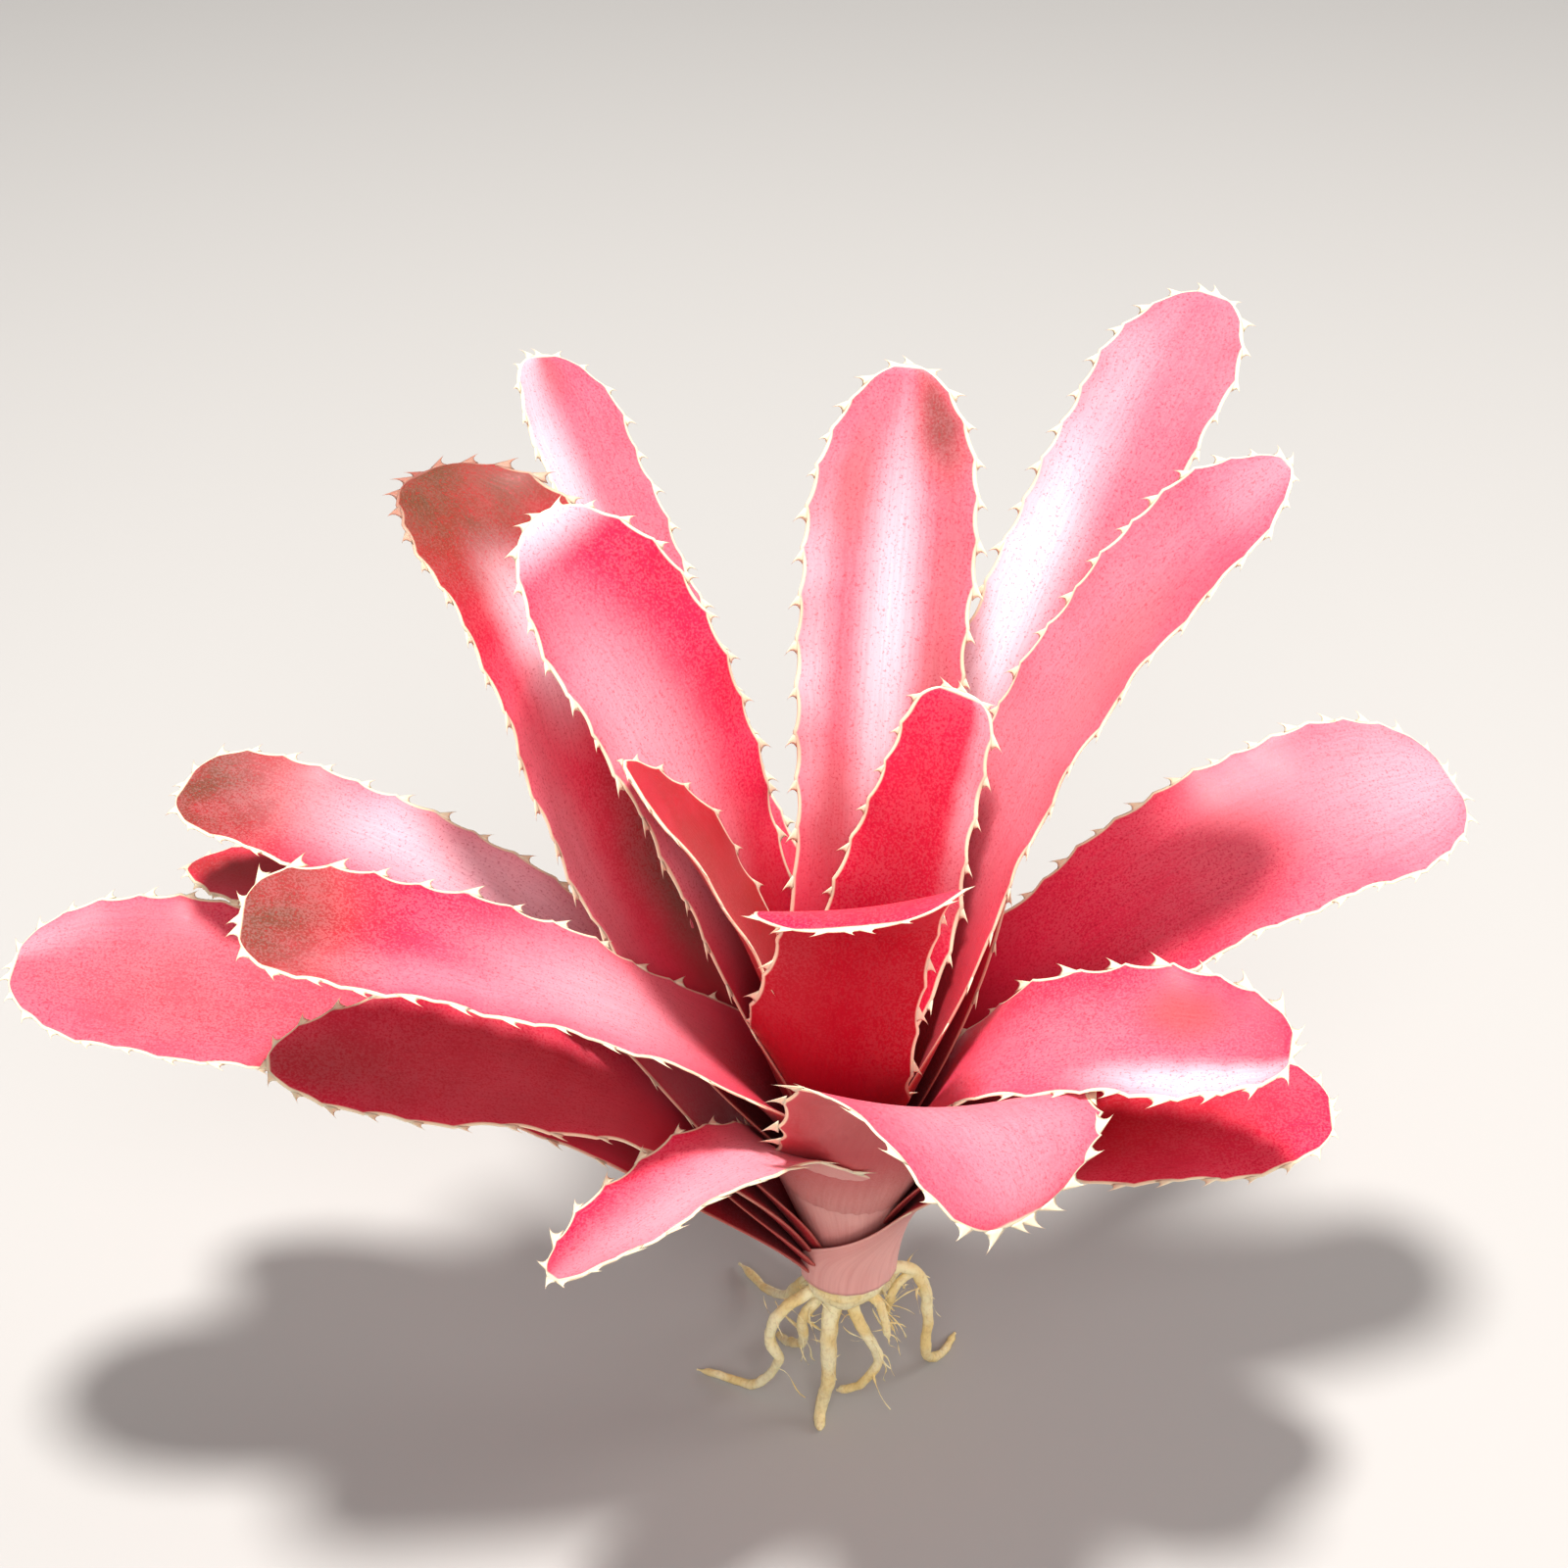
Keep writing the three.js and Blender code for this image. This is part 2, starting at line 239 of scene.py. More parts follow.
def makeFloor():
    half = studio["floorSize"] / 2
    corners = [(-half, -half, 0), (half, -half, 0), (half, half, 0), (-half, half, 0)]
    mesh = bpy.data.meshes.new("floor")
    mesh.from_pydata(corners, [], [(0, 1, 2, 3)])
    floor = newObject("floor", mesh)
    material, _, surface = newMaterial("palePaper")
    setInputs(surface, {"Base Color": (*studio["floorColour"], 1), **studio["floorSurface"]})
    mesh.materials.append(material)


# leaves, from the outermost in
# way: degrees round +Z from +X. size: length and width in mm. rise: degrees above level at equal
# steps along the blade. swing, roll, cup, clasp: degrees of bend sideways, twist, hollow and of the
# sheath round the stem. lean: degrees of tilt sideways. flare: the sheath's width in half blades.
# hold: the shares of the length between which the flare dies out. waist: the share of the width
# that is left above it. widen: times the width. longer: mm added. tip: its length in blade widths,
# and two powers that shape it. teeth: times the spines' size. pale, deep and olive are soft patches
# of colour: along, across, half length, half width, strength, with across -1 to 1 over the blade.
# The pale patches are mostly painted sheen highlights; at the foot of some outer sheaths they give
# the sheath's real pale pink. The deep patches are darker red, partly the leaf's own and partly
# painted shade where other leaves shade it. The olive patches are the real olive-brown tips, and
# on some leaves painted shade.
# A leaf without one of these takes it from growth, or goes without.

leaves = [
    # leaf_01: its deep patch is painted shade under the leaf above it; its pale patch at the foot
    # is the sheath's real pale pink
    {"way": 343, "size": (62, 19), "rise": (86, 43, 10, 4), "swing": 13, "roll": 8, "cup": 15,
     "clasp": 100, "flare": 1.8, "hold": (0.0, 0.22), "waist": 0.6, "widen": 1.22,
     "sheenAndPale": [(0.04, 0, 0.32, 4.0, 0.95)], "shadeAndDeep": [(0.55, 0, 0.4, 1.3, 1.0)]},
    {"way": 179, "size": (98, 21), "rise": (55, 32, 14, 8), "swing": 0, "roll": -8, "cup": 15,
     "clasp": 28, "flare": 1.1, "widen": 1.22, "tip": (0.72, 2.3, 0.5),
     "sheenAndPale": [(1.0, -0.6, 0.1, 0.5, 0.3), (0.8, 0, 1.0, 4.0, 0.12)],
     "oliveAndShade": [(0.8, 0, 0.26, 1.1, 0.3)]},
    {"way": 163, "size": (89, 18), "rise": (58, 42, 12, -6), "swing": 0, "roll": 0, "cup": 18,
     "clasp": 46, "tip": (1.1, 2.0, 0.7), "shadeAndDeep": [(0.85, 0, 0.25, 1.4, 0.8)],
     "oliveAndShade": [(1.0, 0, 0.15, 1.4, 0.45)]},
    # leaf_04: its deep patch is painted shade cast by the leaves above it
    {"way": 193, "size": (72, 20), "rise": (62, 45, 20, 8), "swing": 0, "roll": -12, "cup": 15,
     "clasp": 24, "flare": 1.1, "tip": (1.0, 2.0, 0.62), "sheenAndPale": [(0.6, 0, 0.4, 1.5, 0.06)],
     "shadeAndDeep": [(0.6, 0.2, 0.6, 1.5, 0.6)], "oliveAndShade": [(1.0, 0, 0.3, 1.4, 0.4)]},
    {"way": 166, "size": (91, 17), "rise": (64, 46, 22, 10), "swing": 0, "roll": -5, "cup": 20,
     "clasp": 48, "tip": (0.6, 2.8, 0.5),
     "sheenAndPale": [(0.6, -0.3, 0.36, 1.3, 0.7), (0.35, 0.0, 0.2, 0.9, 0.2)],
     "oliveAndShade": [(1.0, 0.0, 0.2, 3.0, 0.95)]},
    {"way": 240, "size": (55, 15), "rise": (72, 60, -4, -10), "swing": -22, "roll": 20, "cup": 20,
     "clasp": 60, "flare": 2.2, "tip": (0.9, 2.2, 0.6), "teeth": 1.25,
     "sheenAndPale": [(0.6, 0.5, 0.6, 1.2, 0.45), (0.22, 0.0, 0.3, 4.0, 0.85)]},
    {"way": 19, "size": (87, 21), "rise": (62, 47, 19, 4), "swing": 0, "roll": 15, "cup": 15,
     "clasp": 46, "widen": 1.22, "longer": 0.0, "tip": (0.6, 2.6, 0.5),
     "sheenAndPale": [(1.0, 0, 0.2, 1.4, 0.3), (0.85, 0, 0.35, 4.0, 0.16)],
     "shadeAndDeep": [(0.2, 0.2, 0.2, 1.2, 0.2)]},
    {"way": 287, "size": (61, 26), "rise": (62, 64, 36, -60), "swing": 9, "roll": -24, "cup": 14,
     "clasp": 56, "flare": 1.9, "widen": 1.3, "longer": -1.9, "tip": (0.45, 2.2, 0.5), "teeth": 1.7,
     "sheenAndPale": [(0.75, 0.1, 0.5, 1.4, 0.28), (0.12, 0, 0.25, 4.0, 0.6)],
     "shadeAndDeep": [(0.35, 0.8, 0.3, 0.8, 0.7)]},
    {"way": 326, "size": (64, 19), "rise": (71, 65, 16, 2), "swing": 20, "roll": 14, "cup": 15,
     "clasp": 60, "teeth": 1.35,
     "sheenAndPale": [(0.6, -0.2, 0.4, 1.2, 0.15), (0.85, -0.75, 0.2, 0.4, 0.8)],
     "shadeAndDeep": [(0.82, 0.3, 0.09, 0.5, 1.0)]},
    {"way": 123, "size": (101, 17), "rise": (62, 54, 50, 44), "swing": 0, "roll": 24, "cup": 20,
     "clasp": 50, "longer": 0.2, "tip": (0.6, 2.6, 0.55),
     "sheenAndPale": [(0.7, 0.8, 0.5, 0.8, 0.9), (0.5, 0, 0.9, 4.0, 0.18)],
     "shadeAndDeep": [(0.98, 0.1, 0.05, 0.6, 0.6)]},
    # leaf_11: its second olive patch is painted shade in a band beside the next leaf's margin
    {"way": 155, "size": (95, 20), "rise": (62, 54, 71, 15), "swing": -14, "roll": 0, "cup": 20,
     "clasp": 48, "widen": 1.22, "longer": 0.2, "teeth": 1.3,
     "sheenAndPale": [(0.76, 0.1, 0.14, 0.5, 1.0), (0.5, 0.8, 0.25, 0.5, 0.3)],
     "shadeAndDeep": [(1.0, 0, 0.24, 4.0, 1.0)],
     "oliveAndShade": [(1.0, 0, 0.22, 3.0, 1.0), (0.4, -0.5, 0.24, 0.8, 0.9)]},
    {"way": 204, "size": (81, 19), "rise": (69, 49, 22, 13), "swing": -20, "roll": -5, "cup": 15,
     "clasp": 60, "longer": 0.4, "tip": (0.5, 2.8, 0.5), "teeth": 1.25,
     "sheenAndPale": [(0.46, 0.0, 0.3, 1.3, 0.45), (0.8, 0.6, 0.2, 0.5, 0.2)],
     "oliveAndShade": [(1.0, -0.2, 0.2, 2.6, 0.95)]},
    {"way": 48, "size": (103, 18), "rise": (68, 65, 53, 41), "swing": 0, "roll": 0, "cup": 18,
     "clasp": 48, "longer": 3.6, "tip": (0.75, 2.4, 0.55),
     "sheenAndPale": [(0.6, 0.6, 0.34, 0.75, 1.0), (0.8, 0, 0.6, 4.0, 0.22)]},
    {"way": 155, "size": (79, 20), "rise": (69, 74, 66, 50), "swing": 0, "roll": -18, "cup": 15,
     "clasp": 46, "widen": 1.1, "longer": 4.2,
     "sheenAndPale": [(1.0, 0, 0.06, 3.0, 0.85), (0.62, 0.4, 0.32, 0.95, 0.5)],
     "shadeAndDeep": [(0.38, -0.1, 0.2, 1.2, 0.8)]},
    # leaf_15: its second deep patch is painted shadow of the inner leaf beside its foot
    {"way": 29, "size": (93, 17), "rise": (69, 70, 57, 38), "swing": -14, "roll": 5, "cup": 18,
     "clasp": 50, "widen": 1.06, "longer": 0.4, "tip": (0.8, 2.2, 0.66),
     "sheenAndPale": [(0.99, 0, 0.1, 1.4, 0.3), (0.55, 0.3, 0.6, 2.0, 0.28)],
     "shadeAndDeep": [(0.72, -0.3, 0.14, 0.7, 0.6), (0.28, 0.3, 0.2, 1.2, 0.8)]},
    # leaf_16: its deep patch is painted shade over the whole blade
    {"way": 243, "size": (51, 23), "rise": (60, 82, 97, 10), "swing": 10, "roll": 26, "lean": -11,
     "cup": 14, "clasp": 62, "flare": 2.3, "hold": (0.2, 0.6), "widen": 1.15,
     "tip": (0.34, 3.2, 0.4), "shadeAndDeep": [(0.4, 0, 0.7, 1.5, 1.0)]},
    {"way": 80, "size": (85, 19), "rise": (70, 76, 64, 53), "swing": 0, "roll": 0, "cup": 18,
     "clasp": 48, "widen": 1.06, "longer": 2.2, "tip": (1.0, 2.2, 0.55),
     "sheenAndPale": [
         (0.62, -0.05, 0.34, 0.42, 1.0), (0.62, 0.85, 0.25, 0.3, 0.6), (0.5, 0, 0.9, 4.0, 0.22)
     ],
     "shadeAndDeep": [
         (0.84, 0.5, 0.1, 0.35, 0.8), (0.42, 0.5, 0.12, 0.45, 0.8), (0.6, -0.65, 0.3, 0.3, 0.8)
     ],
     "oliveAndShade": [(0.93, -0.6, 0.09, 0.5, 0.75)]},
    # leaf_18: its deep and olive patches are painted shade over the whole blade
    {"way": 181, "size": (57, 13), "rise": (71, 74, 63, 51), "swing": 0, "roll": 0, "cup": 22,
     "clasp": 45, "flare": 1.8, "hold": (0.15, 0.65), "widen": 1.2, "longer": -1.5,
     "tip": (1.1, 2.0, 0.75), "shadeAndDeep": [(0.5, 0, 1.2, 4.0, 1.0)],
     "oliveAndShade": [(0.5, 0, 1.2, 4.0, 0.22)]},
    {"way": 62, "size": (53, 14), "rise": (71, 79, 72, 64), "swing": 0, "roll": 0, "lean": 7,
     "cup": 14, "clasp": 80, "flare": 1.65, "hold": (0.3, 0.9), "widen": 0.82, "longer": -0.8,
     "tip": (0.7, 2.8, 0.4), "sheenAndPale": [(0.9, -0.8, 0.4, 0.35, 0.4)],
     "shadeAndDeep": [(0.5, 0.2, 0.5, 1.4, 0.5)]},
]

growth = {  # how a leaf sits and widens, in mm and shares of its length
    "crownHeight": 20,
    "stemHeight": 24,
    "stemRadius": (5.2, 1.2),
    "seatGap": 0.7,
    "sheathShare": 0.25,
    "tip": (0.85, 2.3, 0.5),
    "tipPoint": 2.2,
    "longer": 1.2,
    "flare": 1.6,
    "hold": (0.12, 0.45),
    "waist": 0.92,
    "sheathWrap": 1.6,
    "widestWrap": 150,  # degrees to either side
    "softPower": 4,  # joins the widths of sheath and blade
    "stemEnd": 1.5,
    # shares of the length over which each comes in
    "opens": (0.8, 2),  # in sheaths
    "swings": (0.15, 0.75),
    "leans": (0.1, 0.45),
    "rolls": (0.15, 1),
    "unwraps": (0.1, 0.4),
    "waistEnds": (0.3, 0.7),
}

blade = {  # in mm, but for across, powers and phases
    "thickness": 0.85,
    "edgeThickness": 0.36,
    "rowStep": 0.5,
    "marginSteps": 1500,
    "across": (0, 0.13, 0.26, 0.39, 0.52, 0.64, 0.75, 0.84, 0.91, 0.955, 0.985, 1),
    "roundEdge": 24,  # power that rounds the margin
    "thinTip": (1.2, 0.02),  # over the last mm, down to this share
    "scallop": 0.5,
    "scallopPower": 0.7,
    "scallopTip": (0.4, 5),  # mm from the tip
    "ripple": 0.28,
    "rippleLength": 13,
    "ripplePhase": (2.4, 2.2),  # from leaf to leaf, and between the margins
    "rippleFrom": (0.3, 0.5),
    "rippleTip": 8,
    "patchEdge": (0.15, 1.25),
    "apexEdge": 0.8,
    "step": 0.4,  # for slopes
}

# the kinds of colour patch: pale (painted sheen, some real pale sheaths), deep (darker red and
# painted shade), olive (real tips and painted shade)
markKinds = ("sheenAndPale", "shadeAndDeep", "oliveAndShade")


def spline(knots, x):  # a smooth line through the knots, where x counts knots
    i = np.clip(np.floor(x).astype(int), 0, len(knots) - 2)
    f = (x - i).reshape(x.shape + (1,) * (knots.ndim - 1))
    a, b, c, d = (knots[np.clip(i + k, 0, len(knots) - 1)] for k in (-1, 0, 1, 2))
    return b + 0.5 * f * (c - a + f * (2 * a - 5 * b + 4 * c - d + f * (3 * (b - c) + d - a)))


def smooth(t, lo, hi):
    x = np.clip((t - lo) / (hi - lo), 0, 1)
    return x * x * (3 - 2 * x)


def lerp(a, b, t):
    return a + (b - a) * t


def unit(v):
    return v / np.linalg.norm(v, axis=-1, keepdims=True)


def turned(v, axis, angle):
    c, s = np.cos(angle)[:, None], np.sin(angle)[:, None]
    return v * c + np.cross(axis, v) * s + axis * (axis * v).sum(1, keepdims=True) * (1 - c)


def midrib(leaf, rank):  # every mm along the leaf: place, side, inner normal, bend across, reach
    length, width = leaf["size"]
    end = growth["stemEnd"]
    height = lerp(end, growth["stemHeight"] - end, rank / (len(leaves) - 1))
    radius = lerp(*growth["stemRadius"], height / growth["stemHeight"]) + growth["seatGap"]
    s = np.arange(math.ceil(length + growth["tipPoint"]) + 3)
    t = s / length
    rise = np.array(leaf["rise"], float)
    rise = np.radians(spline(rise, np.clip(t, 0, 1) * (len(rise) - 1)))
    way = np.radians(leaf["way"] + leaf["swing"] * smooth(t, *growth["swings"]))
    ahead = np.stack([np.cos(rise) * np.cos(way), np.cos(rise) * np.sin(way), np.sin(rise)], 1)
    side = np.stack([-np.sin(way), np.cos(way), 0 * way], 1)
    start = np.radians(leaf["way"])
    outward = np.array([np.cos(start), np.sin(start), 0])
    share = growth["sheathShare"]
    opening = smooth(t, *(share * k for k in growth["opens"]))
    normal = unit(lerp(-outward, -np.cross(side, ahead), opening[:, None]))
    lean = np.radians(leaf.get("lean", 0)) * smooth(t, *growth["leans"])
    side, normal = turned(side, outward[None, :], lean), turned(normal, outward[None, :], lean)
    ahead = turned(ahead, outward[None, :], lean)
    place = outward * radius + [0, 0, growth["crownHeight"] + height]
    place = place + np.vstack([np.zeros(3), np.cumsum(ahead, 0)[:-1]])
    turn = np.radians(leaf["roll"]) * smooth(t, *growth["rolls"])
    side, normal = turned(side, ahead, turn), turned(normal, ahead, turn)
    reach = np.hypot(place[:, 0], place[:, 1])
    bend = lerp(1 / reach, 2 * math.radians(leaf["cup"]) / width, opening)
    return np.hstack([place, side, normal, bend[:, None], reach[:, None]])


def bladePoint(stations, s, u):
    here = spline(stations, s)
    place, side, normal, bend = here[..., 0:3], here[..., 3:6], here[..., 6:9], here[..., 9:10]
    angle = bend * u[..., None]
    return place + side * np.sin(angle) / bend + normal * (1 - np.cos(angle)) / bend


def bladeNormal(stations, s, u):
    d = blade["step"]
    lengthwise = bladePoint(stations, s + d, u) - bladePoint(stations, s - d, u)
    crosswise = bladePoint(stations, s, u + d) - bladePoint(stations, s, u - d)
    return unit(np.cross(lengthwise, crosswise))


def bladeLength(leaf):
    return leaf["size"][0] + leaf.get("longer", growth["longer"])


def halfWidth(leaf, stations, s):
    length, width = leaf["size"]
    t = s / length
    width = width * leaf.get("widen", 1)
    waist = lerp(leaf.get("waist", growth["waist"]), 1, smooth(t, *growth["waistEnds"]))
    flare = lerp(
        leaf.get("flare", growth["flare"]), waist, smooth(t, *leaf.get("hold", growth["hold"]))
    )
    flat = width / 2 * flare
    wrap = leaf["clasp"] * lerp(growth["sheathWrap"], 1, smooth(t, *growth["unwraps"]))
    sheath = np.radians(np.minimum(wrap, growth["widestWrap"])) * spline(stations, s)[..., -1]
    power = growth["softPower"]
    body = (flat**-power + sheath**-power) ** (-1 / power)
    share, bulge, blunt = leaf.get("tip", growth["tip"])
    tip = width * share
    x = np.clip((s - bladeLength(leaf) + tip) / tip, 0, 1)
    return body * (1 - x**bulge) ** blunt


def rowsAlong(leaf, stations):  # evenly spaced along the margin, so that they crowd at the apex
    s = bladeLength(leaf) * (1 - (1 - np.linspace(0, 1, blade["marginSteps"])) ** 2)
    w = halfWidth(leaf, stations, s)
    far = np.concatenate([[0], np.cumsum(np.hypot(np.diff(s), np.diff(w)))])
    count = round(far[-1] / blade["rowStep"])
    return np.interp(np.linspace(0, far[-1], count + 1), far, s), far[-1]


def patches(spots, t, v):
    mask = np.zeros_like(t)
    for alongAt, acrossAt, halfLong, halfWide, strength in spots:
        away = np.hypot((t - alongAt) / halfLong, (v - acrossAt) / halfWide)
        mask = 1 - (1 - mask) * (1 - strength * (1 - smooth(away, *blade["patchEdge"])))
    return mask


def bladeMesh(name, leaf, rank):
    stations = midrib(leaf, rank)
    length = bladeLength(leaf)
    s, marginLength = rowsAlong(leaf, stations)
    s = s[:-1]
    w = halfWidth(leaf, stations, s)
    half = np.array(blade["across"])
    v = np.concatenate([-half[:0:-1], half])
    n, m = len(s), len(v)
    grid = np.repeat(s[:, None], m, 1)
    count = round((marginLength - length * growth["sheathShare"]) / spines["pitch"])
    first = int(np.searchsorted(s, length * growth["sheathShare"]))
    share = 1 - (1 - np.clip((np.arange(n) - first) / (n - first), 0, 1)) ** (
        1 / spines["Crowding"]
    )
    dips = [
        np.abs(np.sin(np.pi * (share * count - late))) ** blade["scallopPower"]
        for late in (0, 0.5)
    ]
    dip = blade["scallop"] * leaf.get("teeth", 1) * smooth(
        s, length * growth["sheathShare"], length * 0.5
    )
    dip = dip * smooth(length - s, *blade["scallopTip"])
    sides = [w - dip * wave for wave in dips]
    wide = np.where(v[None, :] < 0, sides[0][:, None], sides[1][:, None])
    u = wide * v[None, :]
    middle = bladePoint(stations, grid, u)
    normal = bladeNormal(stations, grid, u)
    perLeaf, perSide = blade["ripplePhase"]
    phase = rank * perLeaf
    wave = np.sin(grid * 2 * np.pi / blade["rippleLength"] + phase + perSide * np.sign(v)[None, :])
    wave = wave * smooth(grid / length, *blade["rippleFrom"]) * np.abs(v)[None, :] ** 3
    wave = wave * blade["ripple"] * smooth(length - grid, 0, blade["rippleTip"])
    middle = middle + normal * wave[..., None]
    swell = blade["edgeThickness"] + (blade["thickness"] - blade["edgeThickness"]) * (1 - v**2)
    thick = swell * np.sqrt(1 - np.abs(v) ** blade["roundEdge"])
    thinOver, thinnest = blade["thinTip"]
    thick = thick[None, :] * np.sqrt(np.clip((length - s) / thinOver, thinnest, 1))[:, None]
    top = middle + normal * (thick / 2)[..., None]
    under = middle - normal * (thick / 2)[..., None]
    apex = bladePoint(stations, np.array([float(length)]), np.array([0.0]))
    below = m - 2  # columns of the underside between the two margins
    rows = np.concatenate([top, under[:, 1:-1]], axis=1).reshape(-1, 3)
    points = (np.vstack([rows, apex]) + plantCentre) * mm

    size = m + below
    topIndex = np.arange(n)[:, None] * size + np.arange(m)[None, :]
    underIndex = topIndex.copy()
    underIndex[:, 1:-1] = np.arange(n)[:, None] * size + m + np.arange(below)[None, :]
    faces = []
    for sheet, flip in ((topIndex, False), (underIndex, True)):
        quads = np.stack(
            [sheet[:-1, :-1], sheet[1:, :-1], sheet[1:, 1:], sheet[:-1, 1:]], -1
        ).reshape(-1, 4)
        faces += (quads[:, ::-1] if flip else quads).tolist()
        last = sheet[-1]
        fan = [[last[j], n * size, last[j + 1]] for j in range(m - 1)]
        faces += [f[::-1] for f in fan] if flip else fan
    for j in range(m - 1):  # the foot of the sheath
        ring = [topIndex[0, j], topIndex[0, j + 1], underIndex[0, j + 1], underIndex[0, j]]
        faces.append(list(dict.fromkeys(ring)))
    mesh = bpy.data.meshes.new(name)
    mesh.from_pydata(points.tolist(), [], [[int(i) for i in face] for face in faces])

    t = grid / length
    vGrid = np.repeat(v[None, :], n, 0)
    edge = np.minimum(wide * (1 - np.abs(vGrid)), (length - s)[:, None] * blade["apexEdge"])
    # the pale, deep and olive patches at each point: painted sheen and painted shade as well as
    # real colour
    marks = np.stack([patches(leaf.get(kind, []), t, vGrid) for kind in markKinds], -1)
    d = blade["step"]
    frontLine = unit(bladePoint(stations, grid + d, u) - bladePoint(stations, grid - d, u))
    slope = np.gradient(w, s)
    lean = np.stack([np.sign(vGrid), np.repeat(-slope[:, None], m, 1)], -1)
    lean = lean / np.linalg.norm(lean, axis=-1, keepdims=True).clip(1e-6)
    crosswise = unit(np.cross(normal, frontLine))
    outward = crosswise * lean[..., :1] + frontLine * lean[..., 1:]
    forward = np.cross(outward, normal) * -np.sign(vGrid)[..., None]

    def spread(value, last, underValue=None):
        lower = value if underValue is None else underValue
        flat = np.concatenate([value, lower[:, 1:-1]], axis=1).reshape(n * size, -1)
        return np.vstack([flat, np.reshape(last, (1, -1))]).astype(np.float32).ravel()

    upper = np.ones((n, m))
    upper[:, [0, -1]] = 0.5
    place = np.stack([t, vGrid, upper], -1)
    placeUnder = np.stack([t, vGrid, np.zeros((n, m))], -1)
    tipMarks = [
        patches(leaf.get(kind, []), np.array([1.0]), np.array([0.0]))[0]
        for kind in markKinds
    ]
    layers = {
        "leafPlace": ("FLOAT_VECTOR", spread(place, (1, 0, 0.5), placeUnder)),
        "leafMarks": ("FLOAT_VECTOR", spread(marks, tipMarks)),
        "marginOut": ("FLOAT_VECTOR", spread(outward, frontLine[-1, m // 2])),
        "marginOn": ("FLOAT_VECTOR", spread(forward, crosswise[-1, m // 2])),
        "leafEdge": ("FLOAT", spread(edge, 0)),
    }
    for label, (kind, data) in layers.items():
        layer = mesh.attributes.new(label, kind, "POINT")
        layer.data.foreach_set("vector" if kind == "FLOAT_VECTOR" else "value", data)
    tag = mesh.attributes.new("marginEdge", "BOOLEAN", "EDGE")
    left = {(int(a), int(b)) for a, b in zip(topIndex[first:-1, 0], topIndex[first + 1 :, 0])}
    left.add((int(topIndex[-1, 0]), n * size))
    right = {(int(a), int(b)) for a, b in zip(topIndex[first:-1, -1], topIndex[first + 1 :, -1])}
    keys = [tuple(sorted(edge.vertices)) for edge in mesh.edges]
    tag.data.foreach_set("value", [key in left or key in right for key in keys])
    mesh.polygons.foreach_set("use_smooth", [True] * len(mesh.polygons))
    mesh.update()
    return mesh, count


# the spines along a leaf's margins: names with a capital are inputs of the node tree

spines = {
    "pitch": 4.8,  # mm along the margin
    "Crowding": 1.22,
    "Length": 1.1 * mm,
    "Base Width": 2.0 * mm,
    "Thickness": 0.3 * mm,
    "Lean": 1.0,
    "Seat Depth": 0.16 * mm,
    "Variation": 0.22,
    "Apex Scale": 0.85,
    "footSpread": (1.6, 0.7, 0.3),  # power, added at the foot, left at the point
    "hookPower": 1.8,
    "leastRise": 0.02,  # tells a spine's foot from the blade
}


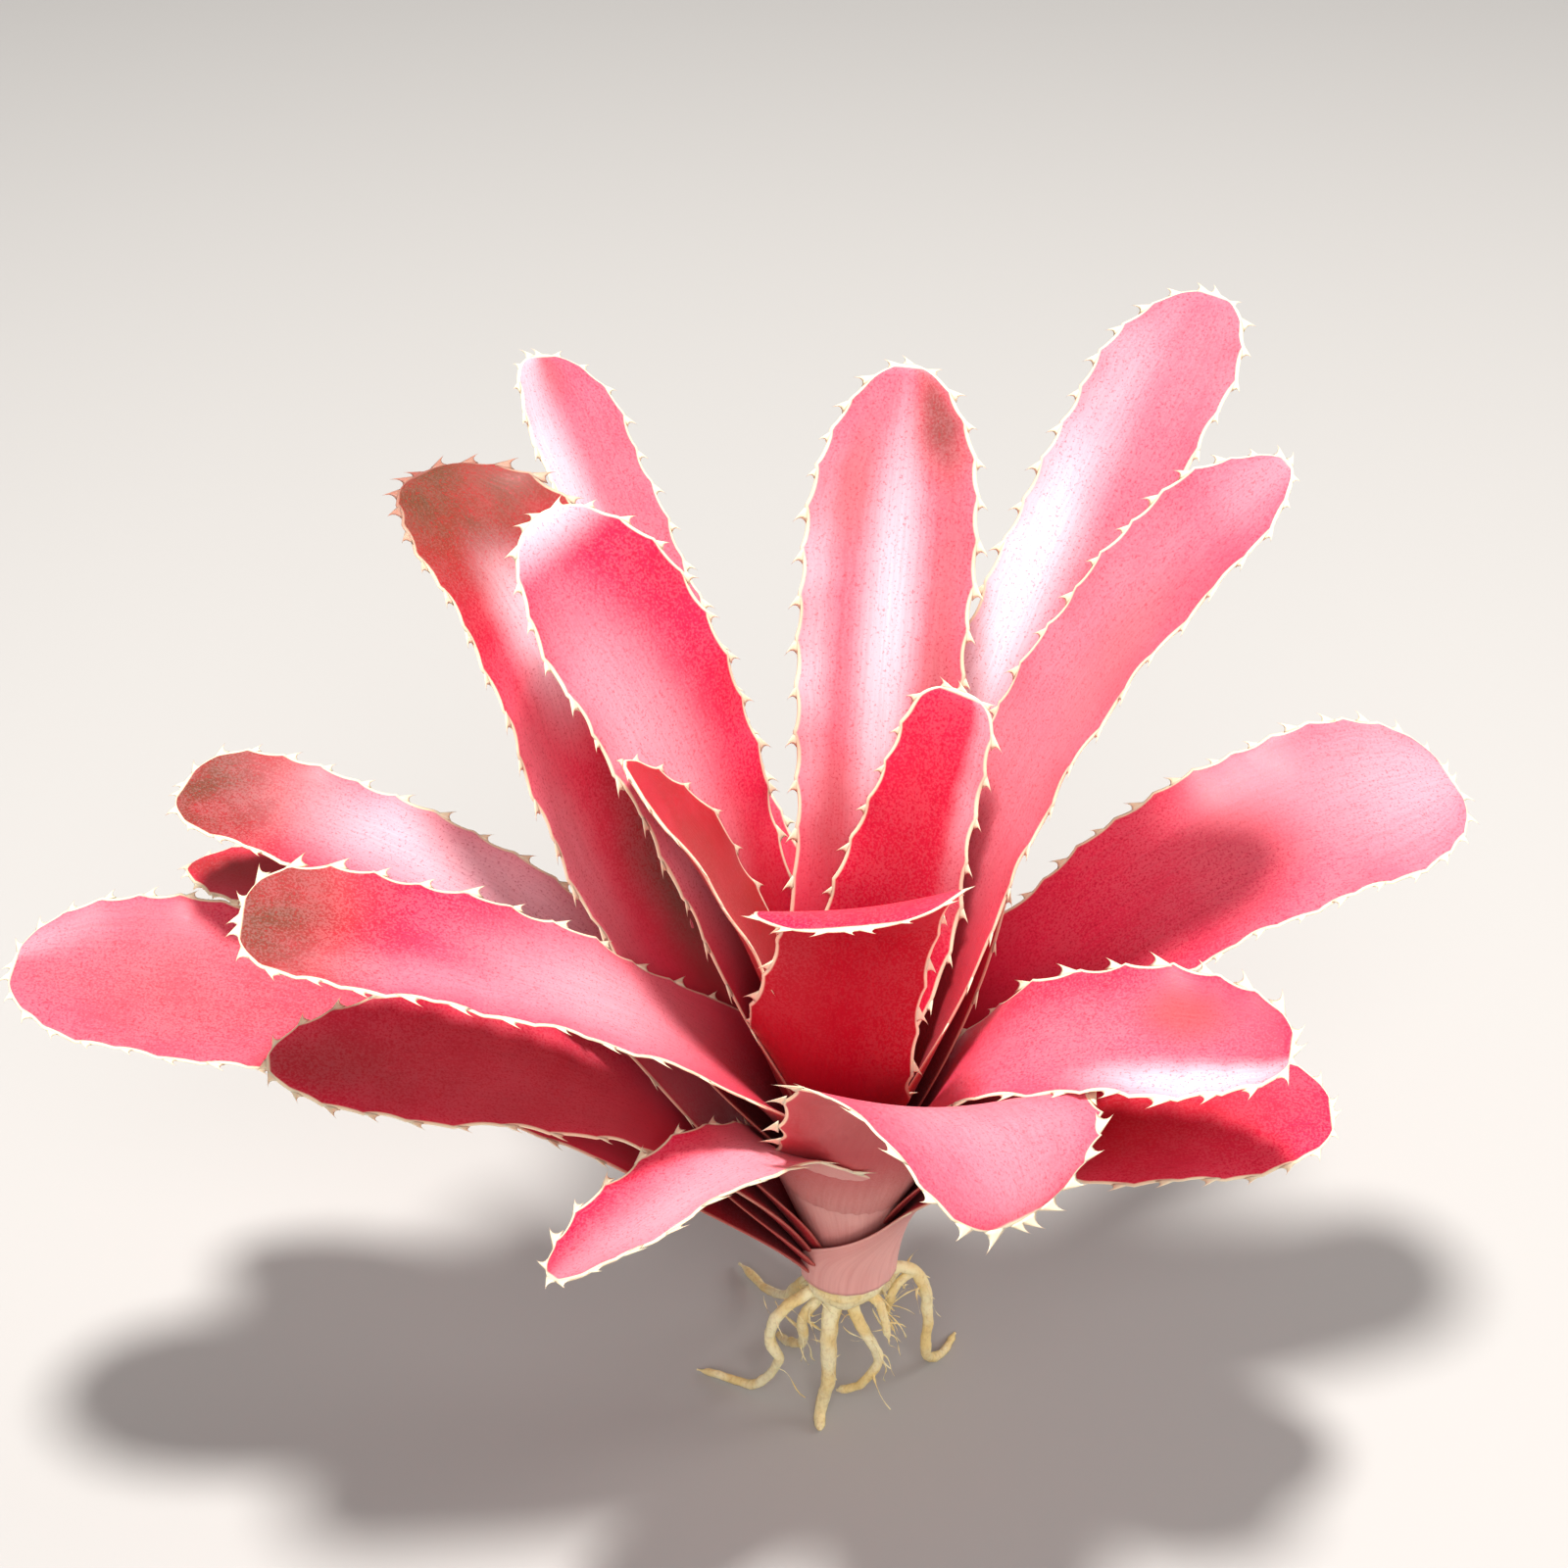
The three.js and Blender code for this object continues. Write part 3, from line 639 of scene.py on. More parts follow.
def makeSpineTree():
    inputs = {
        "Leaf": (shape, None),
        "Spines": (whole, 16),
        "Crowding": (number, 1.2),
        "Length": (number, 0.001),
        "Base Width": (number, 0.003),
        "Thickness": (number, 0.0003),
        "Lean": (number, 0.5),
        "Seat Depth": (number, 0.0002),
        "Variation": (number, 0.2),
        "Apex Scale": (number, 1.2),
        "Seed": (whole, 0),
        "Skin": ("NodeSocketMaterial", None),
    }
    tree, given, result = newTree(
        "marginSpines", "GeometryNodeTree", inputs, {"Leaf": (shape, None)}
    )
    lines = addNode(
        tree,
        "GeometryNodeMeshToCurve",
        {"Mesh": given["Leaf"], "Selection": named(tree, "marginEdge", "BOOLEAN")},
    )

    # one thorn: a cone pressed flat, flared at its foot and hooked towards the leaf's tip
    cone = addNode(
        tree,
        "GeometryNodeMeshCone",
        {"Vertices": 6, "Side Segments": 5, "Radius Top": 0.0, "Radius Bottom": 1.0, "Depth": 1.0},
    )
    across, through, up = split(tree, addNode(tree, "GeometryNodeInputPosition"))
    rest = maths(tree, "SUBTRACT", 1.0, up)
    power, added, left = spines["footSpread"]
    spread = maths(tree, "POWER", maths(tree, "MAXIMUM", rest, 0.0), power)
    flare = maths(tree, "MULTIPLY_ADD", spread, added, left)
    wide = times(tree, times(tree, across, flare), times(tree, given["Base Width"], 0.5))
    hook = times(
        tree, maths(tree, "POWER", up, spines["hookPower"]), given["Lean"], given["Length"]
    )
    thick = times(tree, through, times(tree, given["Thickness"], 0.5))
    reach = maths(tree, "ADD", given["Length"], given["Seat Depth"])
    tall = maths(tree, "SUBTRACT", times(tree, up, reach), given["Seat Depth"])
    bent = combine(tree, maths(tree, "ADD", wide, hook), thick, tall)
    rise = maths(tree, "MAXIMUM", up, spines["leastRise"])
    marked = stored(tree, cone, "spineRise", rise, "FLOAT")
    thorn = moved(tree, marked, Position=bent)

    # where they stand: Spines on each margin, closer together towards the tip, and one at the apex
    index = addNode(tree, "GeometryNodeInputIndex")
    count = given["Spines"]
    isRight = maths(tree, "GREATER_THAN", index, count)
    step = maths(tree, "SUBTRACT", index, times(tree, isRight, maths(tree, "ADD", count, 1.0)))
    share = maths(tree, "DIVIDE", maths(tree, "MULTIPLY_ADD", isRight, 0.5, step), count)
    back = maths(tree, "MAXIMUM", maths(tree, "SUBTRACT", 1.0, share), 0.0)
    factor = maths(tree, "SUBTRACT", 1.0, maths(tree, "POWER", back, given["Crowding"]))
    total = maths(tree, "MULTIPLY_ADD", count, 2.0, 1.0)
    stands = addNode(tree, "GeometryNodePoints", {"Count": total})

    def sampled(name):
        inputs = {"Curves": lines, "Factor": factor, "Curve Index": isRight}
        settings = {"mode": "FACTOR", "data_type": "FLOAT_VECTOR"}
        node = addNode(tree, "GeometryNodeSampleCurve", inputs, **settings)
        plug(tree, named(tree, name, "FLOAT_VECTOR"), node.inputs["Value"])
        return node.outputs

    for name in ("leafPlace", "leafMarks"):
        stands = stored(tree, stands, name, sampled(name)[0], "FLOAT_VECTOR")
    outward = sampled("marginOut")
    stands = moved(tree, stands, Position=outward[1])
    facing = addNode(
        tree,
        "FunctionNodeAxesToRotation",
        {0: outward[0], 1: sampled("marginOn")[0]},
        primary_axis="Z",
        secondary_axis="X",
    )
    atApex = addNode(
        tree, "FunctionNodeCompare", {2: index, 3: count}, data_type="INT", operation="EQUAL"
    )
    least = maths(tree, "SUBTRACT", 1.0, given["Variation"])
    most = maths(tree, "ADD", 1.0, given["Variation"])
    randomInputs = {2: least, 3: most, "Seed": given["Seed"]}
    random = addNode(tree, "FunctionNodeRandomValue", randomInputs, data_type="FLOAT")
    scale = addNode(
        tree,
        "GeometryNodeSwitch",
        {0: atApex, 1: random.outputs[1], 2: given["Apex Scale"]},
        input_type="FLOAT",
    )
    placed = addNode(
        tree,
        "GeometryNodeInstanceOnPoints",
        {
            "Points": stands,
            "Instance": thorn,
            "Rotation": facing,
            "Scale": scale,
        },
    )
    real = addNode(tree, "GeometryNodeRealizeInstances", {0: placed})
    soft = addNode(tree, "GeometryNodeSetShadeSmooth", {0: real, "Shade Smooth": True})
    joined = addNode(tree, "GeometryNodeJoinGeometry")
    plug(tree, soft, joined.inputs[0])
    plug(tree, given["Leaf"], joined.inputs[0])
    return dressed(tree, joined, given, result)


# finishes


speckleForm = {
    "detail": (2.0, 0.6),  # and its roughness
    "clusterScale": 0.06,
    "clusterShare": (0.5, 0.2),  # growing with the noise, and everywhere
    "cut": 0.78,
    "softness": 0.14,
}


def makeSpeckle():  # small uneven spots, as of scurf or of root fibre
    inputs = {
        "Place": ("NodeSocketVector", None), "Spot Size": (number, 0.0003), "Cover": (number, 0.5)
    }
    form = speckleForm
    tree, given, result = newTree(
        "fineSpeckle", "ShaderNodeTree", inputs, {"Mask": (number, None), "Height": (number, None)}
    )
    scale = maths(tree, "DIVIDE", 1.0, given["Spot Size"])
    fine = noise(tree, given["Place"], scale, *form["detail"])
    broad = noise(tree, given["Place"], times(tree, scale, form["clusterScale"]), 3.0)
    share = maths(tree, "MULTIPLY_ADD", broad, *form["clusterShare"])
    cut = maths(tree, "SUBTRACT", form["cut"], times(tree, given["Cover"], share))
    mask = ramp(tree, fine, cut, maths(tree, "ADD", cut, form["softness"]))
    plug(tree, mask, result[0])
    plug(tree, fine, result[1])
    return tree


leafFinish = {
    "red": (0.84, 0.016, 0.08),
    "crimson": (0.42, 0.0005, 0.008),
    "underRed": (0.46, 0.002, 0.018),
    # the two pale colours: a painted sheen highlight on the upper side; underneath mostly the real
    # pale pink of outer sheaths, with painted sheen too
    "sheenAndPale": (0.95, 0.67, 0.76),
    "sheenAndPaleUnder": (0.94, 0.50, 0.45),
    "sheathPale": (0.42, 0.012, 0.02),
    # the olive-brown of real leaf tips, also laid on as painted shade
    "oliveAndShade": (0.10, 0.04, 0.016),
    "edgeCream": (0.93, 0.74, 0.52),
    "spineTip": (0.42, 0.12, 0.05),
    "darkEdge": (0.20, 0.012, 0.012),
    # a near-black painted shade for the bottom of the cup
    "cupShadeColour": (0.2, 0.0005, 0.004),
    "scurf": (0.90, 0.50, 0.52),
    "cloudScale": 32.0,
    "blotchScale": 170.0,
    "veinSpread": (5.0, 26.0),  # along and across
    "veinDetail": (3.0, 0.6),
    "scurfSpots": {"Spot Size": 0.00028, "Cover": 0.75},
    # from, to, and where it isn't 0 to 1, the weight at each
    "cloudy": (0.3, 0.8, 0.0, 0.35),
    "cupRed": (0.5, 0.12, 0.0, 0.75),
    # where the painted shade at the bottom of the cup comes in
    "paintedCupShade": (0.36, 0.12, 0.0, 0.7),
    "cupShade": (0.55, 0.25, 0.0, 0.85),
    "sheath": (0.36, 0.14),
    "veined": (0.35, 0.7, 0.0, 0.16),
    "speckled": (0.44, 0.3, 0.0, 0.5),
    "shadeAndDeepBlotch": (0.2, 0.6, 0.8, 1.0),
    "sheenAndPaleClouds": (0.25, 0.6, 0.7, 1.0),
    "oliveAndShadeBlotch": (0.25, 0.6, 0.75, 1.0),
    "browned": (0.45, 1.0),
    "scurfFrom": (0.25, 0.5),
    "creamFrom": (0.12, 0.5, 0.1, 1.0),
    "roughness": (0.3, 0.7, 0.36, 0.46),
    # how much it grows with the deep patches (partly painted shade), the blotch noise or the olive
    # patches, then how much there is without
    "scurfShare": (-0.06, 0.09),
    "creamWidth": (0.35, 0.06),
    "brownShare": (0.5, 0.25),
    "creamSoftness": 0.25,
    "darkShare": 0.9,
    "scurfRoughness": 0.2,
    "reliefShares": (0.7, 0.3),  # of veins and of scurf
    "relief": {"Strength": 0.35, "Distance": 0.00012},
    "surface": {
        "Specular IOR Level": 0.22,
        "Sheen Weight": 0.03,
        "Sheen Roughness": 0.5,
        "Sheen Tint": (1.0, 0.85, 0.87, 1),
        "Coat Weight": 0.08,
        "Coat Roughness": 0.3,
        "Subsurface Weight": 0.2,
        "Subsurface Radius": (1.0, 0.2, 0.15),
        "Subsurface Scale": 0.0016,
    },
}


def makeLeafFinish(speckle):
    f = leafFinish
    material, tree, surface = newMaterial("leafSkin")
    # inner is 1 on the upper side, 0 underneath
    t, v, inner = split(tree, attribute(tree, "leafPlace").outputs["Vector"])
    sheenAndPale, shadeAndDeep, oliveAndShade = split(tree, attribute(tree, "leafMarks").outputs["Vector"])
    edge = attribute(tree, "leafEdge").outputs["Fac"]
    spine = attribute(tree, "spineRise").outputs["Fac"]
    spot = addNode(tree, "ShaderNodeTexCoord").outputs["Object"]

    clouds = noise(tree, spot, f["cloudScale"], 3.0)
    blotch = noise(tree, spot, f["blotchScale"], 3.0)
    # fine veins run the length of the leaf
    lengthwise, crosswise = f["veinSpread"]
    veinAt = combine(tree, times(tree, t, lengthwise), times(tree, v, crosswise), 0.0)
    veins = noise(tree, veinAt, 1.0, *f["veinDetail"])
    scurf = addNode(tree, "ShaderNodeGroup", {"Place": spot}, node_tree=speckle)
    setInputs(scurf, f["scurfSpots"])

    # red above, deeper towards the cup; near the bottom of the cup a near-black painted shade, then
    # the deep patches, which are partly painted shade
    upperSide = mixed(tree, ramp(tree, clouds, *f["cloudy"]), f["red"], f["crimson"])
    upperSide = mixed(tree, ramp(tree, t, *f["cupRed"]), upperSide, f["crimson"])
    upperSide = mixed(tree, ramp(tree, t, *f["paintedCupShade"]), upperSide, f["cupShadeColour"])
    shadeAndDeepMask = times(tree, shadeAndDeep, ramp(tree, blotch, *f["shadeAndDeepBlotch"]))
    upperSide = mixed(tree, shadeAndDeepMask, upperSide, f["crimson"])
    underSide = mixed(tree, ramp(tree, t, *f["sheath"]), f["underRed"], f["sheathPale"])

    # the pale patches: painted sheen highlights (and the real pale pink of some sheaths), which
    # fade on the upper side towards the cup, where it lies in shade; and the olive patches, real
    # olive-brown tips and, on some leaves, painted shade
    lowInside = times(tree, inner, ramp(tree, t, *f["cupShade"]))
    sheenAndPaleMask = times(tree, sheenAndPale, ramp(tree, clouds, *f["sheenAndPaleClouds"]))
    sheenAndPaleMask = times(tree, sheenAndPaleMask, maths(tree, "SUBTRACT", 1.0, lowInside))
    sheenAndPaleColour = mixed(tree, inner, f["sheenAndPaleUnder"], f["sheenAndPale"])
    skin = mixed(tree, sheenAndPaleMask, mixed(tree, inner, underSide, upperSide), sheenAndPaleColour)
    oliveAndShadeMask = times(tree, oliveAndShade, ramp(tree, blotch, *f["oliveAndShadeBlotch"]))
    skin = mixed(tree, oliveAndShadeMask, skin, f["oliveAndShade"])

    # veins, dark specks above and pale scurf
    skin = mixed(tree, ramp(tree, veins, *f["veined"]), skin, f["crimson"])
    specks = ramp(tree, scurf.outputs["Height"], *f["speckled"])
    skin = mixed(tree, times(tree, specks, inner), skin, f["underRed"])
    scurfWeight = maths(tree, "MULTIPLY_ADD", shadeAndDeep, *f["scurfShare"])
    scurfMask = times(tree, scurf.outputs["Mask"], scurfWeight, ramp(tree, t, *f["scurfFrom"]))
    skin = mixed(tree, scurfMask, skin, f["scurf"])

    # the cream margin, dark where the olive and deep patches meet, so partly painted shade as they
    # are, and the browned spine tips
    creamWidth = maths(tree, "MULTIPLY_ADD", blotch, *f["creamWidth"])
    creamEdge = ramp(tree, edge, maths(tree, "ADD", creamWidth, f["creamSoftness"]), creamWidth)
    darkMask = times(tree, oliveAndShade, shadeAndDeep, f["darkShare"])
    edgeColour = mixed(tree, darkMask, f["edgeCream"], f["darkEdge"])
    skin = mixed(tree, times(tree, creamEdge, ramp(tree, t, *f["creamFrom"])), skin, edgeColour)
    brownShare = maths(tree, "MULTIPLY_ADD", oliveAndShade, *f["brownShare"])
    browned = times(tree, ramp(tree, spine, *f["browned"]), brownShare)
    tipColour = mixed(tree, browned, edgeColour, f["spineTip"])
    skin = mixed(tree, maths(tree, "GREATER_THAN", spine, spines["leastRise"] / 2), skin, tipColour)
    plug(tree, skin, surface.inputs["Base Color"])

    smoother = ramp(tree, clouds, *f["roughness"])
    rough = maths(tree, "MULTIPLY_ADD", scurf.outputs["Mask"], f["scurfRoughness"], smoother)
    plug(tree, rough, surface.inputs["Roughness"])
    ofVeins, ofScurf = f["reliefShares"]
    grain = times(tree, scurf.outputs["Height"], ofScurf)
    height = maths(tree, "ADD", times(tree, veins, ofVeins), grain)
    bump = addNode(tree, "ShaderNodeBump", {**f["relief"], "Height": height})
    plug(tree, bump, surface.inputs["Normal"])
    setInputs(surface, f["surface"])
    return material


# the rootstock

rootstock = {
    "rootTint": (0.88, 0.68, 0.30),
    "rootBright": (0.97, 0.88, 0.56),
    "rootDark": (0.45, 0.26, 0.10),
    "stemTint": (0.30, 0.015, 0.02),
    "stemRings": 34,
    "stemSides": 40,
    "stemProfile": [(0.05, 15.5), (2.6, 16), (4.6, 18.5), (5.2, 20), (1.2, 44), (0.05, 44.6)],  # mm
    "stemInset": 0.1,
    "ringDepth": 0.22,
    "stemWobble": ((0.05, 3, 1), (0.03, 7, 0)),  # share of the radius, waves round it, phase
    "slimmer": 0.82,
    "rootTaper": 0.75,
    "rootEnd": 0.35,
    "rootSteps": 14,
    "barkScale": 260.0,
    "fibreScale": 2600.0,
    "fibreStretch": (1.0, 1.0, 0.15),
    "barkSpots": {"Spot Size": 0.0005, "Cover": 0.6},
    "brightFrom": (0.35, 0.65),
    "fibrous": (0.5, 0.75, 0.0, 0.22),
    "barkSpeckled": 0.18,
    "roughness": (0.3, 0.7, 0.6, 0.85),
    "broadRelief": 0.8,
    "stemFrom": (0.0205, 0.0225),  # metres up
    "relief": {"Strength": 0.6, "Distance": 0.00025},
    "surface": {
        "Specular IOR Level": 0.35,
        "Subsurface Weight": 0.05,
        "Subsurface Scale": 0.001,
    },
}

roots = [  # radius at the stem and at the end, then points of the centre line, in mm
    (1.5, 0.9, [(-1, -1, 19), (-2, -3, 13), (-2, -4, 6), (-3, -5, 1), (-3, -7, 0.4)]),
    (1, 0.8, [(-2, -1, 19), (-7, -3, 17), (-9, -3, 12), (-8, -3, 8), (-11, -1, 2), (-18, 3, 0.4)]),
    (1, 0.8, [(2, 0, 19), (8, 2, 18), (10, 2, 11), (10, 2, 4), (12, 5, 0.8), (14, 9, 0.4)]),
    (1, 0.8, [(-1, 1, 18), (-4, 8, 11), (-8, 13, 3), (-13, 21, 0.4)]),
    (1, 0.8, [(1, 1, 18), (4, 8, 10), (5, 14, 3), (8, 21, 0.4)]),
    (1, 0.7, [(0, -1, 18), (2, -3, 13), (4, -3, 8), (2, -3, 4), (-1, -2, 2)]),
    (0.9, 0.7, [(-1, 0, 18), (-5, -1, 13), (-5, 1, 7), (-7, 6, 2), (-8, 9, 0.4)]),
    (0.9, 0.7, [(1, -1, 18), (4, -3, 17), (5, -4, 12)]),
    (0.8, 0.6, [(8, 2, 17.6), (6, 1, 16), (5, 1, 11)]),
    (0.8, 0.6, [(0, 1, 18), (1, 6, 13), (-1, 9, 7), (1, 12, 3)]),
]


def between(x, lo, hi, a, b):
    return (hi - x) / (hi - lo) * a + (x - lo) / (hi - lo) * b


def rootLine(path, steps):  # centripetal curve through the points, as the solid's
    p = np.array(path, float)
    p = np.vstack([2 * p[0] - p[1], p, 2 * p[-1] - p[-2]])
    line = []
    for k in range(1, len(p) - 2):
        knot = [0.0]
        for i in range(3):
            knot.append(knot[-1] + max(np.linalg.norm(p[k + i] - p[k - 1 + i]), 1e-6) ** 0.5)
        for x in np.linspace(knot[1], knot[2], steps, endpoint=False):
            a = [between(x, knot[i], knot[i + 1], p[k - 1 + i], p[k + i]) for i in range(3)]
            b = [between(x, knot[i], knot[i + 2], a[i], a[i + 1]) for i in range(2)]
            line.append(between(x, knot[1], knot[2], b[0], b[1]))
    line.append(p[-2])
    return np.array(line)


rootForm = {  # names with a capital are inputs of the node tree
    "Ring Step": 0.35 * mm,
    "Ring Points": 12,
    "Wander": 0.35 * mm,
    "Knobs": 0.28 * mm,
    "Rootlets": 26,
    "Rootlet Length": 4.5 * mm,
    "Rootlet Radius": 0.16 * mm,
    "Seed": 4,
    "driftScale": 240.0,
    "lumpScale": 420.0,
    "hairCurl": 0.45,
    "hairWave": (5.0, 0.12),  # radians over the hair, share of its length
    "hairAim": ((-0.9, -0.9, -1.0), (0.9, 0.9, 0.15)),
    "hairSizes": (0.45, 1.15),
    "hairShare": 0.42,
    "hairFrom": 0.0055,  # metres up
}


def makeRootTree():
    inputs = {
        "Lines": (shape, None),
        "Ring Step": (number, 0.0004),
        "Ring Points": (whole, 12),
        "Wander": (number, 0.0003),
        "Knobs": (number, 0.0002),
        "Rootlets": (whole, 8),
        "Rootlet Length": (number, 0.004),
        "Rootlet Radius": (number, 0.00016),
        "Seed": (whole, 0),
        "Skin": ("NodeSocketMaterial", None),
    }
    tree, given, result = newTree("wiryRoots", "GeometryNodeTree", inputs, {"Roots": (shape, None)})
    form = rootForm
    fine = addNode(
        tree,
        "GeometryNodeResampleCurve",
        {"Curve": given["Lines"], "Length": given["Ring Step"]},
        mode="LENGTH",
    )
    here = addNode(tree, "GeometryNodeInputPosition")
    drift = noise(tree, here, form["driftScale"], 1.0).outputs["Color"]
    half = (0.5, 0.5, 0.5)
    centred = addNode(tree, "ShaderNodeVectorMath", {0: drift, 1: half}, operation="SUBTRACT")
    offset = scaled(tree, centred, times(tree, given["Wander"], 2.0))
    wandered = moved(tree, fine, Offset=offset)
    radius = addNode(tree, "GeometryNodeInputRadius")
    ring = addNode(
        tree,
        "GeometryNodeCurvePrimitiveCircle",
        {"Resolution": given["Ring Points"], "Radius": 1.0},
    )
    tube = addNode(
        tree,
        "GeometryNodeCurveToMesh",
        {
            "Curve": wandered,
            "Profile Curve": ring,
            "Scale": radius,
            "Fill Caps": True,
        },
    )

    # rootlets: thin tapering hairs that leave the roots sideways and hang
    hair = addNode(
        tree,
        "GeometryNodeMeshCone",
        {"Vertices": 5, "Side Segments": 8, "Radius Top": 0.25, "Radius Bottom": 1.0, "Depth": 1.0},
    )
    x, y, up = split(tree, here)
    radiusHere, lengthHere = given["Rootlet Radius"], given["Rootlet Length"]
    curl = times(tree, maths(tree, "POWER", up, 2.0), lengthHere, form["hairCurl"])
    hairX = maths(tree, "ADD", times(tree, x, radiusHere), curl)
    turns, height = form["hairWave"]
    sway = times(tree, maths(tree, "SINE", times(tree, up, turns)), times(tree, lengthHere, height))
    hairY = maths(tree, "MULTIPLY_ADD", y, radiusHere, sway)
    hairAt = combine(tree, hairX, hairY, times(tree, up, lengthHere))
    bentHair = moved(tree, hair, Position=hairAt)
    stands = addNode(
        tree,
        "GeometryNodeCurveToPoints",
        {"Curve": wandered, "Count": given["Rootlets"]},
        mode="COUNT",
    )
    low, high = form["hairAim"]
    aimInputs = {0: low, 1: high, "Seed": given["Seed"]}
    turn = addNode(tree, "FunctionNodeRandomValue", aimInputs, data_type="FLOAT_VECTOR")
    aim = addNode(tree, "FunctionNodeAlignRotationToVector", {"Vector": turn}, axis="Z")
    keepInputs = {"Probability": form["hairShare"], "Seed": maths(tree, "ADD", given["Seed"], 3.0)}
    keep = addNode(tree, "FunctionNodeRandomValue", keepInputs, data_type="BOOLEAN")
    keepHigh = times(tree, keep.outputs[3], maths(tree, "GREATER_THAN", up, form["hairFrom"]))
    small, large = form["hairSizes"]
    sizeInputs = {2: small, 3: large, "Seed": maths(tree, "ADD", given["Seed"], 5.0)}
    size = addNode(tree, "FunctionNodeRandomValue", sizeInputs, data_type="FLOAT")
    hairs = addNode(
        tree,
        "GeometryNodeInstanceOnPoints",
        {
            "Points": stands,
            "Selection": keepHigh,
            "Instance": bentHair,
            "Rotation": aim,
            "Scale": size.outputs[1],
        },
    )
    realHairs = addNode(tree, "GeometryNodeRealizeInstances", {0: hairs})
    joined = addNode(tree, "GeometryNodeJoinGeometry")
    plug(tree, tube, joined.inputs[0])
    plug(tree, realHairs, joined.inputs[0])

    # knobbly skin, pressed level where it meets the surface
    lumps = noise(tree, here, form["lumpScale"], 2.0)
    swell = times(tree, maths(tree, "SUBTRACT", lumps, 0.5), times(tree, given["Knobs"], 2.0))
    push = scaled(tree, addNode(tree, "GeometryNodeInputNormal"), swell)
    rough = moved(tree, joined, Offset=push)
    flat = moved(tree, rough, Position=combine(tree, x, y, maths(tree, "MAXIMUM", up, 0.0)))
    soft = addNode(tree, "GeometryNodeSetShadeSmooth", {0: flat, "Shade Smooth": True})
    real = addNode(tree, "GeometryNodeRealizeInstances", {0: soft})
    return dressed(tree, real, given, result)


def makeRootFinish(speckle):
    r = rootstock
    material, tree, surface = newMaterial("rootBark")
    spot = addNode(tree, "ShaderNodeTexCoord").outputs["Object"]
    broad = noise(tree, spot, r["barkScale"], 4.0)
    stretched = addNode(tree, "ShaderNodeMapping", {"Vector": spot, "Scale": r["fibreStretch"]})
    fibres = noise(tree, stretched, r["fibreScale"], 3.0)
    specks = addNode(tree, "ShaderNodeGroup", {"Place": spot}, node_tree=speckle)
    setInputs(specks, r["barkSpots"])
    height = split(tree, spot)[2]
    bark = mixed(tree, ramp(tree, broad, *r["brightFrom"]), r["rootTint"], r["rootBright"])
    bark = mixed(tree, ramp(tree, fibres, *r["fibrous"]), bark, r["rootDark"])
    bark = mixed(tree, times(tree, specks.outputs["Mask"], r["barkSpeckled"]), bark, r["rootDark"])
    bark = mixed(tree, ramp(tree, height, *r["stemFrom"]), bark, r["stemTint"])
    plug(tree, bark, surface.inputs["Base Color"])
    plug(tree, ramp(tree, fibres, *r["roughness"]), surface.inputs["Roughness"])
    relief = maths(tree, "ADD", fibres, times(tree, broad, r["broadRelief"]))
    bump = addNode(tree, "ShaderNodeBump", {**r["relief"], "Height": relief})
    plug(tree, bump, surface.inputs["Normal"])
    setInputs(surface, r["surface"])
    return material


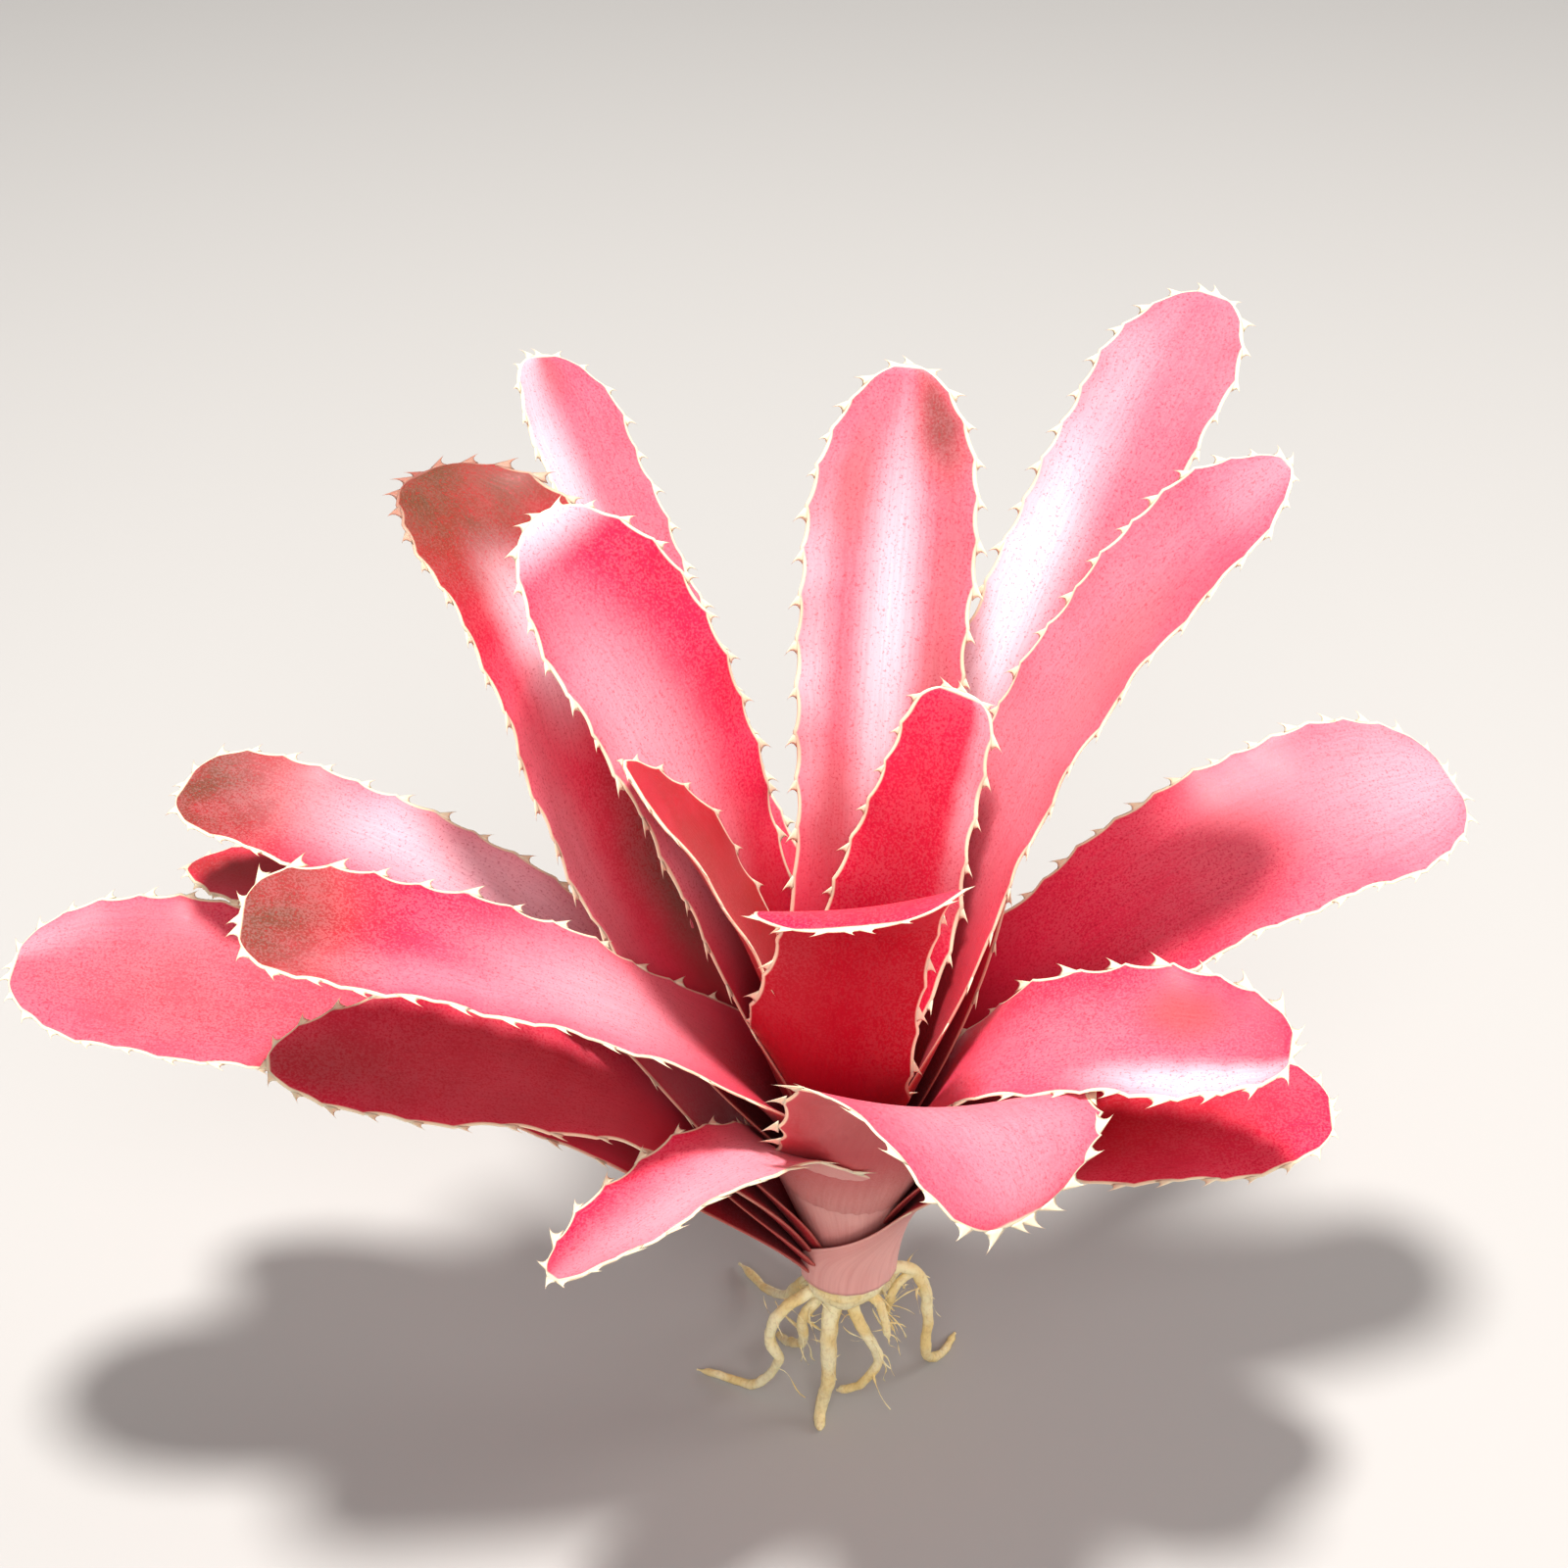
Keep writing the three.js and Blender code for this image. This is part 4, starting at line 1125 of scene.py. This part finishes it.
def makeRootstock(speckle):
    r = rootstock
    bark = makeRootFinish(speckle)
    curve = bpy.data.curves.new("rootLines", "CURVE")
    curve.dimensions = "3D"
    for thick, thin, path in roots:
        line = (rootLine(path, r["rootSteps"]) + plantCentre) * mm
        strand = curve.splines.new("POLY")
        strand.points.add(len(line) - 1)
        radii = np.linspace(thick, thin * r["rootTaper"], len(line)) * r["slimmer"] * mm
        taper = np.linspace(len(line) / 3, 0, len(line)).clip(r["rootEnd"], 1)  # a rounded end
        for point, at, radius in zip(strand.points, line, radii * taper):
            point.co = (*at, 1)
            point.radius = radius
    lines = newObject("rootstock_roots", curve)
    rootPiece = bakeNodes(lines, makeRootTree(), {**rootForm, "Skin": bark})

    # the stem, ringed where old leaves stood
    profile = np.array(r["stemProfile"])
    far = np.concatenate([[0], np.cumsum(np.hypot(*np.diff(profile, axis=0).T))])
    at = np.linspace(0, far[-1], r["stemRings"] * 3 + 1)
    radius, height = np.interp(at, far, profile[:, 0]), np.interp(at, far, profile[:, 1])
    ridge = r["ringDepth"] * (np.arange(len(at)) % 3 == 1) * np.clip(radius / 3, 0, 1)
    radius = radius + ridge - r["stemInset"] * (radius > 1)
    turn = np.linspace(0, 2 * np.pi, r["stemSides"], endpoint=False)
    wobble = 1
    for depth, waves, phase in r["stemWobble"]:
        wobble = wobble + depth * np.sin(waves * turn + phase)
    x, y = np.outer(radius, wobble * np.cos(turn)), np.outer(radius, wobble * np.sin(turn))
    z = np.repeat(height[:, None], len(turn), 1)
    points = (np.stack([x, y, z], -1).reshape(-1, 3) + plantCentre) * mm
    sides, rings = len(turn), len(at)
    faces = []
    for i in range(rings - 1):
        for k in range(sides):
            n = (k + 1) % sides
            faces.append((i * sides + k, i * sides + n, (i + 1) * sides + n, (i + 1) * sides + k))
    faces.append(tuple(range(sides))[::-1])
    faces.append(tuple((rings - 1) * sides + k for k in range(sides)))
    mesh = bpy.data.meshes.new("rootstock_stem")
    mesh.from_pydata(points.tolist(), [], faces)
    mesh.polygons.foreach_set("use_smooth", [True] * len(faces))
    mesh.materials.append(bark)
    stem = newObject("rootstock_stem", mesh)
    for piece in (rootPiece, stem):
        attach(piece, "root")
        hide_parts("rootstock")
    print("rootstock:", len(rootPiece.data.polygons), "faces of roots,", len(faces), "of stem")


def makeLeaves(speckle):
    skin = makeLeafFinish(speckle)
    tree = makeSpineTree()
    faces = 0
    for rank, leaf in enumerate(leaves):
        name = "leaf_%02d" % (rank + 1)
        mesh, count = bladeMesh(name + "_blade", leaf, rank)
        piece = newObject(name + "_blade", mesh)
        values = {**spines, "Spines": count, "Seed": rank + 1, "Skin": skin}
        for label in ("Length", "Base Width"):
            values[label] = spines[label] * leaf.get("teeth", 1)
        piece = bakeNodes(piece, tree, values)
        for layer in ("marginOut", "marginOn", "marginEdge"):
            if layer in piece.data.attributes:
                piece.data.attributes.remove(piece.data.attributes[layer])
        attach(piece, "root")
        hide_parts(name)
        faces += len(piece.data.polygons)
    print("leaves:", len(leaves), "with", faces, "faces")


makeCamera()
makeStudio()
makeFloor()
print("studio ready")
fineSpeckle = makeSpeckle()
makeRootstock(fineSpeckle)
makeLeaves(fineSpeckle)
